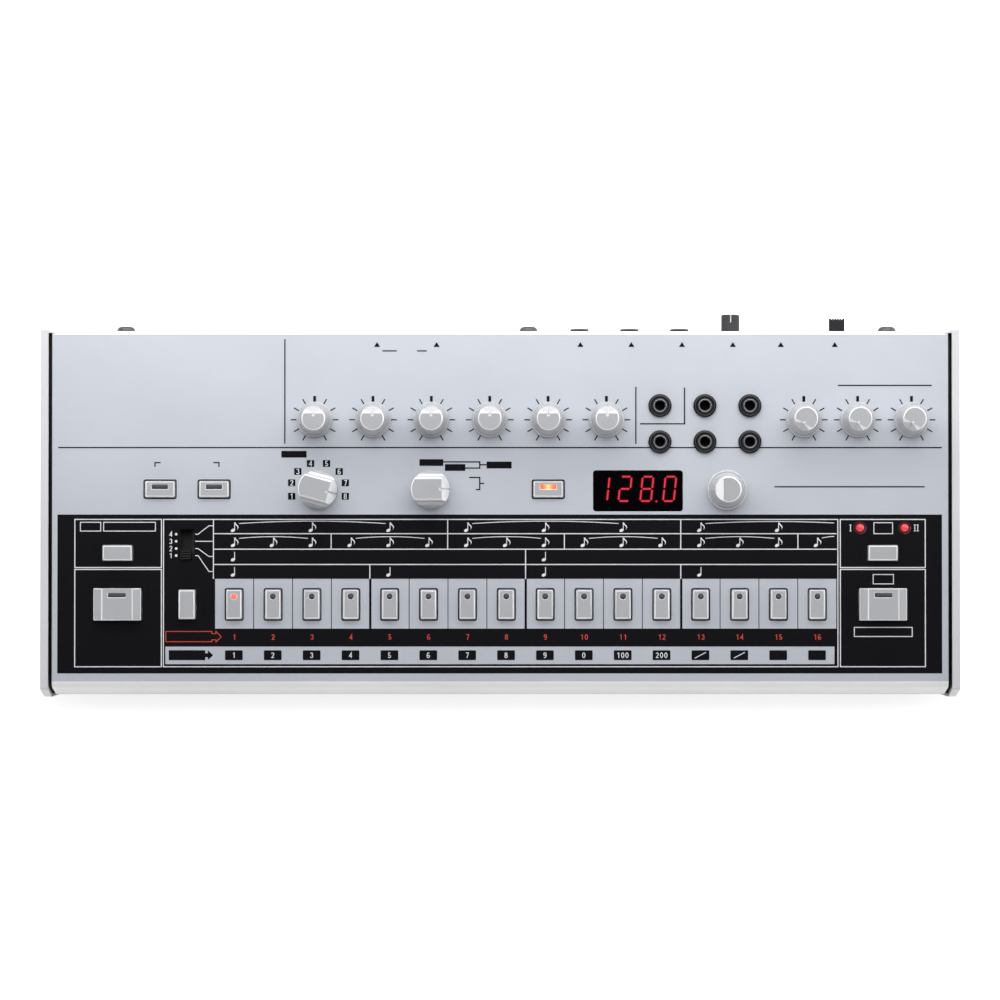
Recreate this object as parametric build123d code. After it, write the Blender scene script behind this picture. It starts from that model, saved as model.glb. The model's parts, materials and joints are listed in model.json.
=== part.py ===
"""Desktop drum machine with a sloping front panel, built as separate pieces.

Frame: X to the right, Y to the back, Z up, millimetres. The origin is at the
middle of the whole machine in X and Y, on the table under the feet.
Panel places are (u, v): u along X, v up the slope, n out of the panel.
"""
from math import cos, radians, sin, tan
import os

from build123d import *

# ---------------------------------------------------------------- case
SLOPE = 11.0            # slope of the panel, degrees
FRONT_Y = -68.0         # front face, from the middle of the panel
REAR_V = 66.34          # rear face, from the middle of the panel along the slope
MID_Z = 38.0            # height of the panel surface at its middle
FOOT_H = 2.5            # the feet lift the case by this
NOSE_R = 6.0            # lower front edge
LIP_R = 2.5             # upper front edge
BACK_R = 1.4            # upper rear edge
HEEL_R = 2.0            # lower rear edge
WALL = 2.5              # front wall
SIDE_WALL = 2.0         # side walls of the upper and lower case
FLOOR_T = 2.5           # floor of the lower case

CHEEK_T = 3.0           # end plates
CHEEK_PROUD = 1.2       # they stand out past the outline by this
CHEEK_R = 1.0           # their upper corners
GROOVE_W = 1.4          # gutter between a cheek and the panel
GROOVE_D = 6.0
EAR_W = 3.3             # bevelled ear inside each cheek, front and rear
EAR_SINK = 0.15         # the ear's thin end dives into the outline by this

PANEL_T = 1.5           # metal top panel
DECK_T = 2.0            # deck of the upper case under the panel's rim
LEDGE_SIDE = 4.0
LEDGE_FRONT = 6.0
LEDGE_REAR = 9.0
REAR_T = 2.0            # rear panel

# ---------------------------------------------------------------- clearances
PLUNGER_GAP = 0.10      # shafts and plungers in their bores, radial
SHAFT_GAP = 0.06
CAP_GAP = 0.55          # a button in its hole, all round
SEAT_GAP = 0.15         # fixed pieces in their holes
LENS_GAP = 0.04         # lenses in their pockets
KNOB_LIFT = 0.6         # knobs above the panel
DOOR_GAP = 0.3
PAST = 1.0              # cutters run past a face by this

# ---------------------------------------------------------------- step row and case width
STEP_COUNT = 16
STEP_PITCH = 14.815
FUNCTION_TO_STEP = 18.0         # function button to the first step
WIDE_TO_FUNCTION = 26.5         # run/stop to the function button
STEP_TO_WIDE = 25.075           # last step to the tap button
WIDE_TO_END = 24.95             # a wide button to the end of the core

ROW_L = WIDE_TO_FUNCTION + FUNCTION_TO_STEP + (STEP_COUNT - 1) * STEP_PITCH + STEP_TO_WIDE
CORE_W = ROW_L + 2 * WIDE_TO_END
CASE_W = CORE_W + 2 * (CHEEK_T + GROOVE_W)
CORE_END = CORE_W / 2
WIDE_U = ROW_L / 2
FUNCTION_U = WIDE_TO_FUNCTION - WIDE_U
STEP_U0 = FUNCTION_U + FUNCTION_TO_STEP

# ---------------------------------------------------------------- planes and heights
COS = cos(radians(SLOPE))
SIN = sin(radians(SLOPE))
RISE = tan(radians(SLOPE))
PANEL_FRONT_V = FRONT_Y / COS + LIP_R * tan(radians(90 - SLOPE) / 2)
PANEL_REAR_V = REAR_V - BACK_R
PANEL_MID_V = (PANEL_FRONT_V + PANEL_REAR_V) / 2
PANEL_D = PANEL_REAR_V - PANEL_FRONT_V
PANEL_BACK = -PANEL_T
DECK_BACK = PANEL_BACK - DECK_T
INNER_FRONT_Y = FRONT_Y + WALL
INNER_V = REAR_V - REAR_T
REAR_TOP_Z = MID_Z + REAR_V * SIN
REAR_TOP_Y = REAR_V * COS
PARTING_Z = FOOT_H + NOSE_R
FLOOR_Z = FOOT_H + FLOOR_T
ABOVE_Z = 3 * MID_Z     # higher than everything

# ---------------------------------------------------------------- rows of controls
STEP_IN = 29.31         # step row from the panel's front edge
LEVEL_IN = 32.44        # level knobs from the panel's rear edge
STEP_V = PANEL_FRONT_V + STEP_IN
LEVEL_V = PANEL_REAR_V - LEVEL_IN
PATTERN_UP = 19.6       # pattern buttons above the step row
PATTERN_V = STEP_V + PATTERN_UP
SCALE_UP = 22.85        # scale slide above the step row
SCALE_V = STEP_V + SCALE_UP
SELECT_DROP = 26.6      # selectors, menu buttons, display and value knob below the levels
MENU_DROP = 26.5
WINDOW_DROP = 27.1
VALUE_DROP = 26.8
SELECT_V = LEVEL_V - SELECT_DROP
MENU_V = LEVEL_V - MENU_DROP
WINDOW_V = LEVEL_V - WINDOW_DROP
VALUE_V = LEVEL_V - VALUE_DROP

# ---------------------------------------------------------------- knobs, from the right
EFFECT_TO_END = 13.95   # last effect knob to the end of the core
EFFECT_PITCH = 20.55
TRIGGER_TO_EFFECT = 20.6
TRIGGER_PITCH = 17.15
TRIGGER_ROW = 13.8      # between the two rows of trigger jacks
TRIGGER_UP = 5.4        # upper row above the level knobs
LEVEL_TO_TRIGGER = 20.4
LEVEL_PITCH = 22.26
LEVEL_COUNT = 6
EFFECT_NAMES = ["drive_knob", "delay_time_knob", "delay_depth_knob"]
EFFECT_U0 = CORE_END - EFFECT_TO_END - (len(EFFECT_NAMES) - 1) * EFFECT_PITCH
TRIGGER_LAST_U = EFFECT_U0 - TRIGGER_TO_EFFECT
TRIGGER_U = [TRIGGER_LAST_U - i * TRIGGER_PITCH for i in (2, 1, 0)]
TRIGGER_V = [LEVEL_V + TRIGGER_UP, LEVEL_V + TRIGGER_UP - TRIGGER_ROW]
LEVEL_LAST_U = TRIGGER_U[0] - LEVEL_TO_TRIGGER
LEVEL_U0 = LEVEL_LAST_U - (LEVEL_COUNT - 1) * LEVEL_PITCH
EFFECT_TURN = 150.0     # rest positions, degrees counter-clockwise from the rear
INSTRUMENT_TURN = -105.0
MODE_TURN = -90.0
VALUE_TURN = 90.0

# ---------------------------------------------------------------- middle row, from the left
WIDE_TO_MENU = 16.2
MENU_TO_LOOP = 20.6
LOOP_TO_INSTRUMENT = 39.8
INSTRUMENT_TO_MODE = 42.8
MODE_TO_TEMPO = 44.8
TEMPO_TO_WINDOW = 34.2
WINDOW_TO_VALUE = 33.9
MENU_U = WIDE_TO_MENU - WIDE_U
LOOP_U = MENU_U + MENU_TO_LOOP
INSTRUMENT_U = LOOP_U + LOOP_TO_INSTRUMENT
MODE_U = INSTRUMENT_U + INSTRUMENT_TO_MODE
TEMPO_U = MODE_U + MODE_TO_TEMPO
WINDOW_U = TEMPO_U + TEMPO_TO_WINDOW
VALUE_U = WINDOW_U + WINDOW_TO_VALUE
SCALE_U = FUNCTION_U

# ---------------------------------------------------------------- knob shapes
KNOB_H = 13.4
SKIRT_R = 6.65
CAP_R = 4.45
CAP_FOOT_R = 5.87       # foot of the cone on the skirt
SKIRT_H = 2.0
FACE_Y = 2.0            # the slanted face starts here on the top
FACE_DROP = 1.9         # and falls by this to the cap's rim
VALUE_SKIRT_R = 7.55
VALUE_CAP_R = 4.85
VALUE_FOOT_R = 6.4
SELECT_R = 7.3
SELECT_H = 12.6
SELECT_BAR_W = 8.6
SELECT_FACE_Y = 4.3
SELECT_EDGE_H = 4.0     # height left at the rim beside the bar
SELECT_SHELF = [(4.9, 5.6), (5.85, 5.4), (6.65, 4.2)]   # shelf beside the bar: reach, height
SELECT_BAND = 0.55      # bevel along the bar's edges
EDGE_R = 0.35           # softened upper edges
GROOVE_LINE_W = 0.5     # pointer grooves and finger ribs
GROOVE_END_R = 0.6      # round end of a pointer groove
SHAFT_R = 3.0
SHAFT_IN = 8.0          # length of shaft inside a knob
SHAFT_HOLE_GAP = 0.6    # shaft through the panel, radial
POT_W = 10.0
POT_D = 11.0
POT_H = 5.4
ROTARY_W = 13.0
BUSH_R = 4.2
POT_FLOOR = 1.0

# ---------------------------------------------------------------- buttons
TRAVEL = 0.8
FLANGE = 0.95           # flange under the panel past the cap, each side
FLANGE_T = 1.0
FLANGE_DROP = 0.2       # flange under the panel
TACT_W = 6.0
TACT_H = 4.0
PLUNGER_R = 1.6
PLUNGER_IN = 1.2        # plunger inside the switch at rest
PLUNGER_ROOM = 0.7      # left under the plunger when it is pressed
TACT_DEPTH = PLUNGER_IN + TRAVEL + PLUNGER_ROOM
STEP_W, STEP_D, STEP_RISE = 6.0, 11.2, 1.8
DOT_R = 1.1
DOT_UP = 3.05
WIDE_W, WIDE_D, WIDE_RISE = 18.1, 12.2, 2.6
WIDE_WING = 3.3         # lowered wing at each side of the wide buttons
WING_DROP = 1.1
PATTERN_W, PATTERN_D = 11.3, 5.9
FUNCTION_W, FUNCTION_D = 6.3, 11.2
MENU_W, MENU_D = 11.4, 6.2
LOW_RISE = 1.4
BAR_W, BAR_D = 6.0, 1.6
BAR_UP = 0.9
WIDE_BAR_W, WIDE_BAR_D = 6.6, 1.5
WIDE_BAR_UP = 3.55
LENS_T = 1.0

# ---------------------------------------------------------------- slides
SCALE_SLOT_W = 5.5
SCALE_SLOT_D = 11.7
SCALE_TAB_W = 4.0
SCALE_TAB_D = 3.2
SCALE_TAB_UP = 1.0
SCALE_TRAVEL = 8.1
SCALE_OFFSET = -0.5     # the tab runs left of the slot's middle
SCALE_BODY_H = 6.5
SLIDE_WALL = 1.5
SLIDE_GAP = 0.15
POWER_TAB_W = 5.9
POWER_TAB_H = 3.6
POWER_OUT = 5.9
POWER_TEETH = 5
POWER_TOOTH_D = 0.5
POWER_TRAVEL = 4.0
POWER_STEM_W = 3.0
POWER_SLOT_GAP = 0.3

# ---------------------------------------------------------------- display, LEDs
WINDOW_W = 34.0
WINDOW_D = 15.4
WINDOW_R = 1.0
WINDOW_LIP = 1.2
WINDOW_LIP_T = 1.0
MODULE_IN = 1.9         # digit module inside the window's outline, each end
MODULE_W = WINDOW_W - 2 * MODULE_IN
MODULE_D = 14.0
LED_UP_V = 9.6          # LEDs above the pattern buttons
LED_STEP = 8.5          # LEDs to the sides of their middle
LED_SHIFT = -0.2        # their middle from the middle of the button
LEDS = [(WIDE_U + LED_SHIFT + side * LED_STEP, PATTERN_V + LED_UP_V) for side in (-1, 1)]
LED_R = 1.6
LED_RISE = 0.2          # cylinder above the panel, under the dome

# ---------------------------------------------------------------- jacks and rear sockets
CONNECT_DROP = 19.5     # rear sockets below the panel's plane
CONNECT_UP = 10.0       # rear sockets above the main board
CONNECT_N = -CONNECT_DROP
POWER_TO_END = 41.0     # rear sockets, counted from the +X end of the core
USB_TO_POWER = 22.75
VOLUME_TO_USB = 18.3
JACK_TO_VOLUME = 19.7
REAR_JACK_PITCH = 19.25
MIDI_TO_JACK = 54.9
MIDI_PITCH = 22.7
POWER_U = CORE_END - POWER_TO_END
USB_U = POWER_U - USB_TO_POWER
VOLUME_U = USB_U - VOLUME_TO_USB
REAR_JACK_U = [VOLUME_U - JACK_TO_VOLUME - i * REAR_JACK_PITCH for i in (2, 1, 0)]
MIDI_U = [REAR_JACK_U[0] - MIDI_TO_JACK - i * MIDI_PITCH for i in (1, 0)]

JACK_BORE_R = 1.8
JACK_BARREL_R = 3.0
JACK_BODY_W = 9.0
JACK_OUT = 1.6          # barrel out of the panel
JACK_MOUTH = 0.45       # chamfer at the mouth
JACK_FLOOR = 1.0
NUT_R = 4.3
NUT_H = 1.2
REAR_BARREL_R = 3.6
REAR_JACK_OUT = 1.8
REAR_JACK_L = 12.5
MIDI_R = 7.6
MIDI_BODY_W = 18.0
MIDI_BODY_L = 13.0
MIDI_OUT = 0.6
MIDI_GROOVE_R = 6.7
MIDI_CORE_R = 5.7
MIDI_DEPTH = 8.0
MIDI_PIN_R = 0.8
MIDI_PIN_CIRCLE = 4.45
MIDI_PIN_TURN = 45.0    # degrees between pins
MIDI_PINS = 5
USB_W, USB_H, USB_L = 7.6, 2.9, 6.0
USB_SHELL = 0.35
USB_N = CONNECT_N - CONNECT_UP + USB_H / 2
VOLUME_R = 3.5
VOLUME_L = 7.0
VOLUME_LIFT = 0.4
VOLUME_RIBS = 20
VOLUME_RIB_W = 0.3
VOLUME_MARK_L = 3.2     # pointer groove of the volume knob
VOLUME_SHAFT_R = 1.9
VOLUME_POT_W = 9.5
VOLUME_POT_L = 8.0

# ---------------------------------------------------------------- boards
BOARD_DEPTH = 10.0      # panel surface to the top of the panel board
BOARD_T = 1.6
BOARD_IN = 9.85         # panel board to the end of the core
BOARD_FRONT_IN = 15.21  # panel board to the panel's front and rear edges
BOARD_REAR_IN = 19.42
BOARD_TOP = -BOARD_DEPTH
BOARD_BACK = BOARD_TOP - BOARD_T
BOARD_END = CORE_END - BOARD_IN
BOARD_FRONT_V = PANEL_FRONT_V + BOARD_FRONT_IN
BOARD_REAR_V = PANEL_REAR_V - BOARD_REAR_IN
STUD_R = 2.5
STUD_END_IN = 9.0       # end studs to the board's ends
STUD_SIDE_IN = 30.0     # front studs to the board's ends
STUD_FRONT_IN = 3.5
STUD_REAR_IN = 4.0
STUD_LEFT_IN = 8.0
STUD_MID_IN = 42.0      # middle studs to the board's rear edge
STUD_CORE_IN = 37.0     # central stud to the board's front edge
STUD_TO_LEVEL = 19.2
STUDS = [
    (STUD_END_IN - BOARD_END, BOARD_REAR_V - STUD_LEFT_IN),
    (LEVEL_U0 - STUD_TO_LEVEL, BOARD_REAR_V - STUD_LEFT_IN),
    ((LEVEL_LAST_U + TRIGGER_U[0]) / 2, BOARD_REAR_V - STUD_REAR_IN),
    ((TRIGGER_LAST_U + EFFECT_U0) / 2, BOARD_REAR_V - STUD_REAR_IN),
    (BOARD_END - STUD_END_IN, BOARD_REAR_V - STUD_MID_IN),
    (STUD_END_IN - BOARD_END, BOARD_REAR_V - STUD_MID_IN),
    (STUD_SIDE_IN - BOARD_END, BOARD_FRONT_V + STUD_FRONT_IN),
    (0.0, BOARD_FRONT_V + STUD_FRONT_IN),
    (BOARD_END - STUD_SIDE_IN, BOARD_FRONT_V + STUD_FRONT_IN),
    (0.0, BOARD_FRONT_V + STUD_CORE_IN),
]
MAIN_TO_MIDI = 19.0     # main board past the outer rear sockets
MAIN_TO_POWER = 18.15
MAIN_D = 45.5
MAIN_GAP = 0.5          # main board to the rear panel
MAIN_TOP_N = CONNECT_N - CONNECT_UP
MAIN_BACK_N = MAIN_TOP_N - BOARD_T
MAIN_X0 = MIDI_U[0] - MAIN_TO_MIDI
MAIN_X1 = POWER_U + MAIN_TO_POWER
MAIN_V1 = INNER_V - MAIN_GAP
MAIN_V0 = MAIN_V1 - MAIN_D
POST_R = 3.0
POST_IN = 8.0           # outer posts to the board's ends
POST_FRONT_IN = 6.0
POST_COUNT = 4
POST_PITCH = (MAIN_X1 - MAIN_X0 - 2 * POST_IN) / (POST_COUNT - 1)
POST_Y = MAIN_V0 * COS - MAIN_BACK_N * SIN + POST_FRONT_IN
MAIN_POSTS = [(MAIN_X0 + POST_IN + i * POST_PITCH, POST_Y) for i in range(POST_COUNT)]
HEADER_IN = 71.0        # header to the main board's -X end
HEADER_FRONT_IN = 14.0
HEADER_W = 30.0
HEADER_D = 5.0
HEADER_GAP = 0.2        # header to the panel board

# ---------------------------------------------------------------- battery bay and feet
BAY_IN = 62.85          # middle of the bay to the -X end of the core
BAY_TO_REAR = 68.1      # front of the bay to the upper rear edge
BAY_X = BAY_IN - CORE_END
BAY_Y0 = REAR_TOP_Y - BAY_TO_REAR
CELL_R = 7.1
CELL_L = 50.5
CELL_GAP = 1.0
CELL_PITCH = 2 * CELL_R + CELL_GAP
CELLS = 4
CONTACT_T = 0.6
NUB_L = 1.1             # contact plate and the nub of a cell
SPRING_L = 3.0
BAY_WALL = 1.5
BAY_ROOF_GAP = 0.3
DOOR_T = 2.0
DOOR_LAP = 2.0          # the door laps the bay opening by this
DOOR_RIBS = 4
DOOR_RIB_PITCH = 2.0
PIN_R = 0.6
PIN_L = 1.6
FOOT_R = 6.0
FOOT_SEAT = 0.8
FOOT_IN = 20.85         # feet to the ends of the core
FOOT_LEFT_IN = 14.85    # the left rear foot stands beside the battery door
FOOT_FRONT_IN = 20.0    # feet to the front face and to the upper rear edge
FOOT_REAR_IN = 11.0
FOOT_LEFT_REAR_IN = 19.0
FEET = [(FOOT_IN - CORE_END, FRONT_Y + FOOT_FRONT_IN), (CORE_END - FOOT_IN, FRONT_Y + FOOT_FRONT_IN),
        (FOOT_LEFT_IN - CORE_END, REAR_TOP_Y - FOOT_LEFT_REAR_IN),
        (CORE_END - FOOT_IN, REAR_TOP_Y - FOOT_REAR_IN)]

# ---------------------------------------------------------------- screws
PILLAR_R = 3.6
PILLAR_Z = 13.0         # pillars of the upper case meet the lower bosses here
PILLAR_IN = 10.85       # corner pillars to the ends of the core
PILLAR_LEFT_IN = 6.85   # the left rear one
PILLAR_FRONT_IN = 5.5   # pillars to the inside of the front wall and to the upper rear edge
PILLAR_REAR_IN = 7.1
PILLAR_TO_MAIN = 8.0    # pillar beside the main board
PILLAR_FRONT_Y = INNER_FRONT_Y + PILLAR_FRONT_IN
PILLAR_REAR_Y = REAR_TOP_Y - PILLAR_REAR_IN
PILLAR_END = CORE_END - PILLAR_IN
MIDI_EDGE = MIDI_U[-1] + MIDI_BODY_W / 2
JACK_EDGE = REAR_JACK_U[0] - JACK_BODY_W / 2
BASE_SCREWS = [(side * PILLAR_END, PILLAR_FRONT_Y) for side in (-1, -1 / 3, 1 / 3, 1)]
BASE_SCREWS += [(x, PILLAR_REAR_Y) for x in (PILLAR_LEFT_IN - CORE_END, MAIN_X0 - PILLAR_TO_MAIN,
                                             (MIDI_EDGE + JACK_EDGE) / 2, PILLAR_END)]
SCREW_R = 1.5
SCREW_GAP = 0.12
SCREW_BITE = 9.0        # thread length in a pillar
SCREW_HEAD_R = 2.8
SCREW_HEAD_H = 1.9
SCREW_SINK = 2.3        # depth of the counterbore in the floor
REAR_SCREW_LEFT_IN = 27.5       # rear screws to the ends of the core
REAR_SCREW_RIGHT_IN = 22.65
REAR_SCREW_OFF = 5.4            # middle rear screw beside the pillar
REAR_SCREWS = [REAR_SCREW_LEFT_IN - CORE_END, (MIDI_EDGE + JACK_EDGE) / 2 + REAR_SCREW_OFF,
               CORE_END - REAR_SCREW_RIGHT_IN]
REAR_SCREW_N = -8.0             # below the panel's plane
REAR_HEAD_R = 3.55
REAR_HEAD_H = 2.15
REAR_HEAD_ROUND = 1.8           # dome of the rear heads
REAR_BOSS_W = 9.0
REAR_BOSS_D = 8.0
STUD_SCREW_R = 1.2
STUD_SCREW_L = 4.0
STUD_BITE = 5.0

VOLUME_END_V = REAR_V + VOLUME_LIFT + VOLUME_L
BACK_Y = VOLUME_END_V * COS + (CONNECT_DROP + VOLUME_R - EDGE_R) * SIN
SHIFT_Y = -(FRONT_Y - CHEEK_PROUD + BACK_Y) / 2

PANEL = Plane(origin=(0, SHIFT_Y, MID_Z), x_dir=(1, 0, 0), z_dir=Vector(0, -RISE, 1).normalized())
BASE = Plane(origin=(0, SHIFT_Y, 0))
REAR = Plane(origin=(PANEL * Pos(0, REAR_V, 0)).position, x_dir=(-1, 0, 0), z_dir=PANEL.y_dir)
OUT_OF_REAR = Axis(REAR.origin, REAR.z_dir)


def panel_z(y, n=0.0):
    """Height at y of the plane that lies n above the panel."""
    return MID_Z + y * RISE + n / COS


def rear_y(z, v=REAR_V):
    """Depth at height z of the plane that stands on the panel at v."""
    return (v - (z - MID_Z) * SIN) / COS


def at(u, v, turn=0.0):
    """A place on the panel, turned counter-clockwise seen from above."""
    return PANEL * Pos(u, v, 0) * Rot(0, 0, turn)


def base(x, y):
    return BASE * Pos(x, y, 0)


def rear(u, n):
    """A place on the rear face, n below or above the panel's plane, its normal pointing back."""
    return REAR * Pos(-u, n, 0)


def side_plane(x, y=0.0, z=0.0):
    """A plane across the case: its x runs back, its y up, its normal to +X."""
    return Plane(origin=(x, SHIFT_Y + y, z), x_dir=(0, 1, 0), z_dir=(1, 0, 0))


def slab(where, w, d, n0, n1, r=0.0):
    """A block w by d from n0 to n1 along the normal, with corner radius r."""
    face = RectangleRounded(w, d, r) if r else Rectangle(w, d)
    return where * Pos(0, 0, n0) * extrude(face, n1 - n0)


def rod(where, r, n0, n1):
    return where * Pos(0, 0, n0) * extrude(Circle(r), n1 - n0)


def cut_through(where, points, thick):
    """An outline of points drawn out along the normal of a local plane."""
    return where * extrude(make_face(Polyline(*points, close=True)), thick)


def box_between(x0, x1, y0, y1, z0, z1):
    """A box given by its corners, in case coordinates."""
    size = Box(x1 - x0, y1 - y0, z1 - z0, align=Align.MIN)
    return BASE * Pos(x0, y0, z0) * size


def prism(points, x0, x1, radii=0.0):
    """An outline of (y, z) points drawn out from x0 to x1."""
    line = FilletPolyline(*points, radius=radii, close=True) if radii else Polyline(*points, close=True)
    return side_plane(x0) * extrude(make_face(line), x1 - x0)


def outline(grow=0.0):
    """Side outline of the case, grown to the front, top and rear."""
    y0 = FRONT_Y - grow
    v1 = REAR_V + grow
    top_y = v1 * COS - grow * SIN
    rear_points = [(rear_y(FOOT_H, v1), FOOT_H), (top_y, panel_z(top_y, grow))]
    return [(y0, FOOT_H), *rear_points, (y0, panel_z(y0, grow))]


CASE_RADII = [NOSE_R, HEEL_R, BACK_R, LIP_R]


def save(name, *pieces):
    """Write one node: each solid stays a solid of its own."""
    solids = [solid for piece in pieces for solid in piece.solids()]
    export_step(Compound(children=solids, label=name), f"parts/{name}.step")
    print(f"{name}: {len(solids)}")


# ---------------------------------------------------------------- control tables
LEVELS = [(f"level_knob_{i + 1}", LEVEL_U0 + i * LEVEL_PITCH, LEVEL_V) for i in range(LEVEL_COUNT)]
EFFECTS = [(name, EFFECT_U0 + i * EFFECT_PITCH, LEVEL_V) for i, name in enumerate(EFFECT_NAMES)]
ROTARIES = [("instrument_selector", INSTRUMENT_U, SELECT_V), ("mode_selector", MODE_U, SELECT_V),
            ("value_knob", VALUE_U, VALUE_V)]

STEP = {"w": STEP_W, "d": STEP_D, "rise": STEP_RISE, "dot": (DOT_R, DOT_UP)}
WIDE = {"w": WIDE_W, "d": WIDE_D, "rise": WIDE_RISE, "wing": WIDE_WING,
        "bar": (WIDE_BAR_W, WIDE_BAR_D, WIDE_BAR_UP)}
MENU = {"w": MENU_W, "d": MENU_D, "rise": LOW_RISE, "bar": (BAR_W, BAR_D, BAR_UP)}
PATTERN = {"w": PATTERN_W, "d": PATTERN_D, "rise": LOW_RISE}
FUNCTION = {"w": FUNCTION_W, "d": FUNCTION_D, "rise": STEP_RISE}

BUTTONS = [(f"step_button_{i + 1:02d}", STEP_U0 + i * STEP_PITCH, STEP_V, STEP) for i in range(STEP_COUNT)]
BUTTONS += [
    ("run_stop_button", -WIDE_U, STEP_V, WIDE),
    ("tap_button", WIDE_U, STEP_V, WIDE),
    ("pattern_clear_button", -WIDE_U, PATTERN_V, PATTERN),
    ("pattern_group_button", WIDE_U, PATTERN_V, PATTERN),
    ("function_button", FUNCTION_U, STEP_V, FUNCTION),
    ("menu_button", MENU_U, MENU_V, MENU),
    ("step_loop_button", LOOP_U, MENU_V, MENU),
    ("tempo_button", TEMPO_U, MENU_V, MENU),
]
TRIGGERS = [(u, v) for v in TRIGGER_V for u in TRIGGER_U]


# ---------------------------------------------------------------- case pieces
def upper_case():
    """Front lip, side walls, rear rim, deck and pillars in one moulding."""
    body = prism(outline(), -CORE_END, CORE_END, CASE_RADII)
    inner = CORE_END - SIDE_WALL
    under = FOOT_H - PAST
    deck_y = INNER_V * COS - DECK_BACK * SIN
    hollow = [(INNER_FRONT_Y, under), (rear_y(under, INNER_V), under),
              (deck_y, panel_z(deck_y, DECK_BACK)), (INNER_FRONT_Y, panel_z(INNER_FRONT_Y, DECK_BACK))]
    body -= prism(hollow, -inner, inner)
    end = CORE_END + PAST
    body -= box_between(-end, end, FRONT_Y - PAST, BACK_Y, under, PARTING_Z)
    body -= slab(rear(0, DECK_BACK - MID_Z), 2 * end, 2 * MID_Z, -REAR_T, PAST)
    body -= slab(at(0, PANEL_MID_V), 2 * end, PANEL_D, PANEL_BACK, MID_Z)
    open_mid = PANEL_MID_V + (LEDGE_FRONT - LEDGE_REAR) / 2
    open_d = PANEL_D - LEDGE_FRONT - LEDGE_REAR
    body -= slab(at(0, open_mid), 2 * (inner - LEDGE_SIDE), open_d, DECK_BACK - PAST, PAST)
    bosses = [rod(base(x, y), PILLAR_R, PILLAR_Z, REAR_TOP_Z) for x, y in BASE_SCREWS]
    foot_n = REAR_SCREW_N - REAR_BOSS_W / 2
    bosses += [slab(rear(u, foot_n / 2), REAR_BOSS_W, -foot_n, -REAR_T - REAR_BOSS_D, -REAR_T)
               for u in REAR_SCREWS]
    above = slab(at(0, 0), 2 * CASE_W, 2 * CASE_W, PANEL_BACK - DECK_T / 2, ABOVE_Z)
    body += [boss - above for boss in bosses]
    hole = SCREW_R + SCREW_GAP
    body -= [rod(base(x, y), hole, PILLAR_Z - PAST, PILLAR_Z + SCREW_BITE + PAST) for x, y in BASE_SCREWS]
    body -= [rod(rear(u, REAR_SCREW_N), hole, PAST - REAR_T - REAR_BOSS_D, PAST) for u in REAR_SCREWS]
    return body


def bay_size():
    """Inner length and width of the battery bay, and the height of the cells' axes."""
    length = CELL_L + 2 * CONTACT_T + SPRING_L
    width = (CELLS - 1) * CELL_PITCH + 2 * CELL_R + 2 * SEAT_GAP
    return length, width, FOOT_H + DOOR_T + DOOR_GAP + CELL_R


def door_box(gap=0.0, past=0.0):
    """Corners of the battery door, or of its recess with a gap."""
    length, width, _ = bay_size()
    half = width / 2 + DOOR_LAP + gap
    y0 = BAY_Y0 - DOOR_LAP - gap
    y1 = BAY_Y0 + length + DOOR_LAP + gap
    return BAY_X - half, BAY_X + half, y0, y1, FOOT_H - past, FOOT_H + DOOR_T + gap / 2


def lower_case():
    """Tray with screw bosses, battery bay, foot seats and board posts."""
    body = prism(outline(), -CORE_END, CORE_END, CASE_RADII)
    end = CORE_END + PAST
    inner = CORE_END - SIDE_WALL
    body -= box_between(-end, end, FRONT_Y - PAST, BACK_Y, PARTING_Z, ABOVE_Z)
    over = PARTING_Z + PAST
    tray = [(INNER_FRONT_Y, FLOOR_Z), (rear_y(FLOOR_Z, INNER_V), FLOOR_Z),
            (rear_y(over, INNER_V), over), (INNER_FRONT_Y, over)]
    body -= prism(tray, -inner, inner)
    length, width, cell_z = bay_size()
    roof = cell_z + CELL_R + BAY_ROOF_GAP
    half = width / 2
    shell = box_between(BAY_X - half - BAY_WALL, BAY_X + half + BAY_WALL, BAY_Y0 - BAY_WALL,
                        BAY_Y0 + length + BAY_WALL, FOOT_H + FLOOR_T / 2, roof + BAY_WALL)
    room = box_between(BAY_X - half, BAY_X + half, BAY_Y0, BAY_Y0 + length, FOOT_H - PAST, roof)
    bosses = [rod(base(x, y), PILLAR_R, FLOOR_Z - PAST, PILLAR_Z) for x, y in BASE_SCREWS]
    main_board_up = slab(at(0, 0), 2 * CASE_W, 2 * CASE_W, MAIN_BACK_N, ABOVE_Z)
    posts = [rod(base(x, y), POST_R, FLOOR_Z - PAST, MID_Z) - main_board_up for x, y in MAIN_POSTS]
    body += [shell] + bosses + posts
    cuts = [room, box_between(*door_box(DOOR_GAP, PAST))]
    for x, y in BASE_SCREWS:
        cuts.append(rod(base(x, y), SCREW_R + SCREW_GAP, FOOT_H - PAST, PILLAR_Z + PAST))
        cuts.append(rod(base(x, y), SCREW_HEAD_R + 2 * SCREW_GAP, FOOT_H - PAST, FOOT_H + SCREW_SINK))
    cuts += [rod(base(x, y), FOOT_R + SEAT_GAP, FOOT_H - PAST, FOOT_H + FOOT_SEAT) for x, y in FEET]
    x0, x1, y0, *_ = door_box()
    axis = side_plane(x0 - PIN_L - SEAT_GAP, y0 + DOOR_T / 2, FOOT_H + DOOR_T / 2)
    cuts.append(rod(axis, PIN_R + PLUNGER_GAP, 0, x1 - x0 + 2 * (PIN_L + SEAT_GAP)))
    return body - cuts


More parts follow.
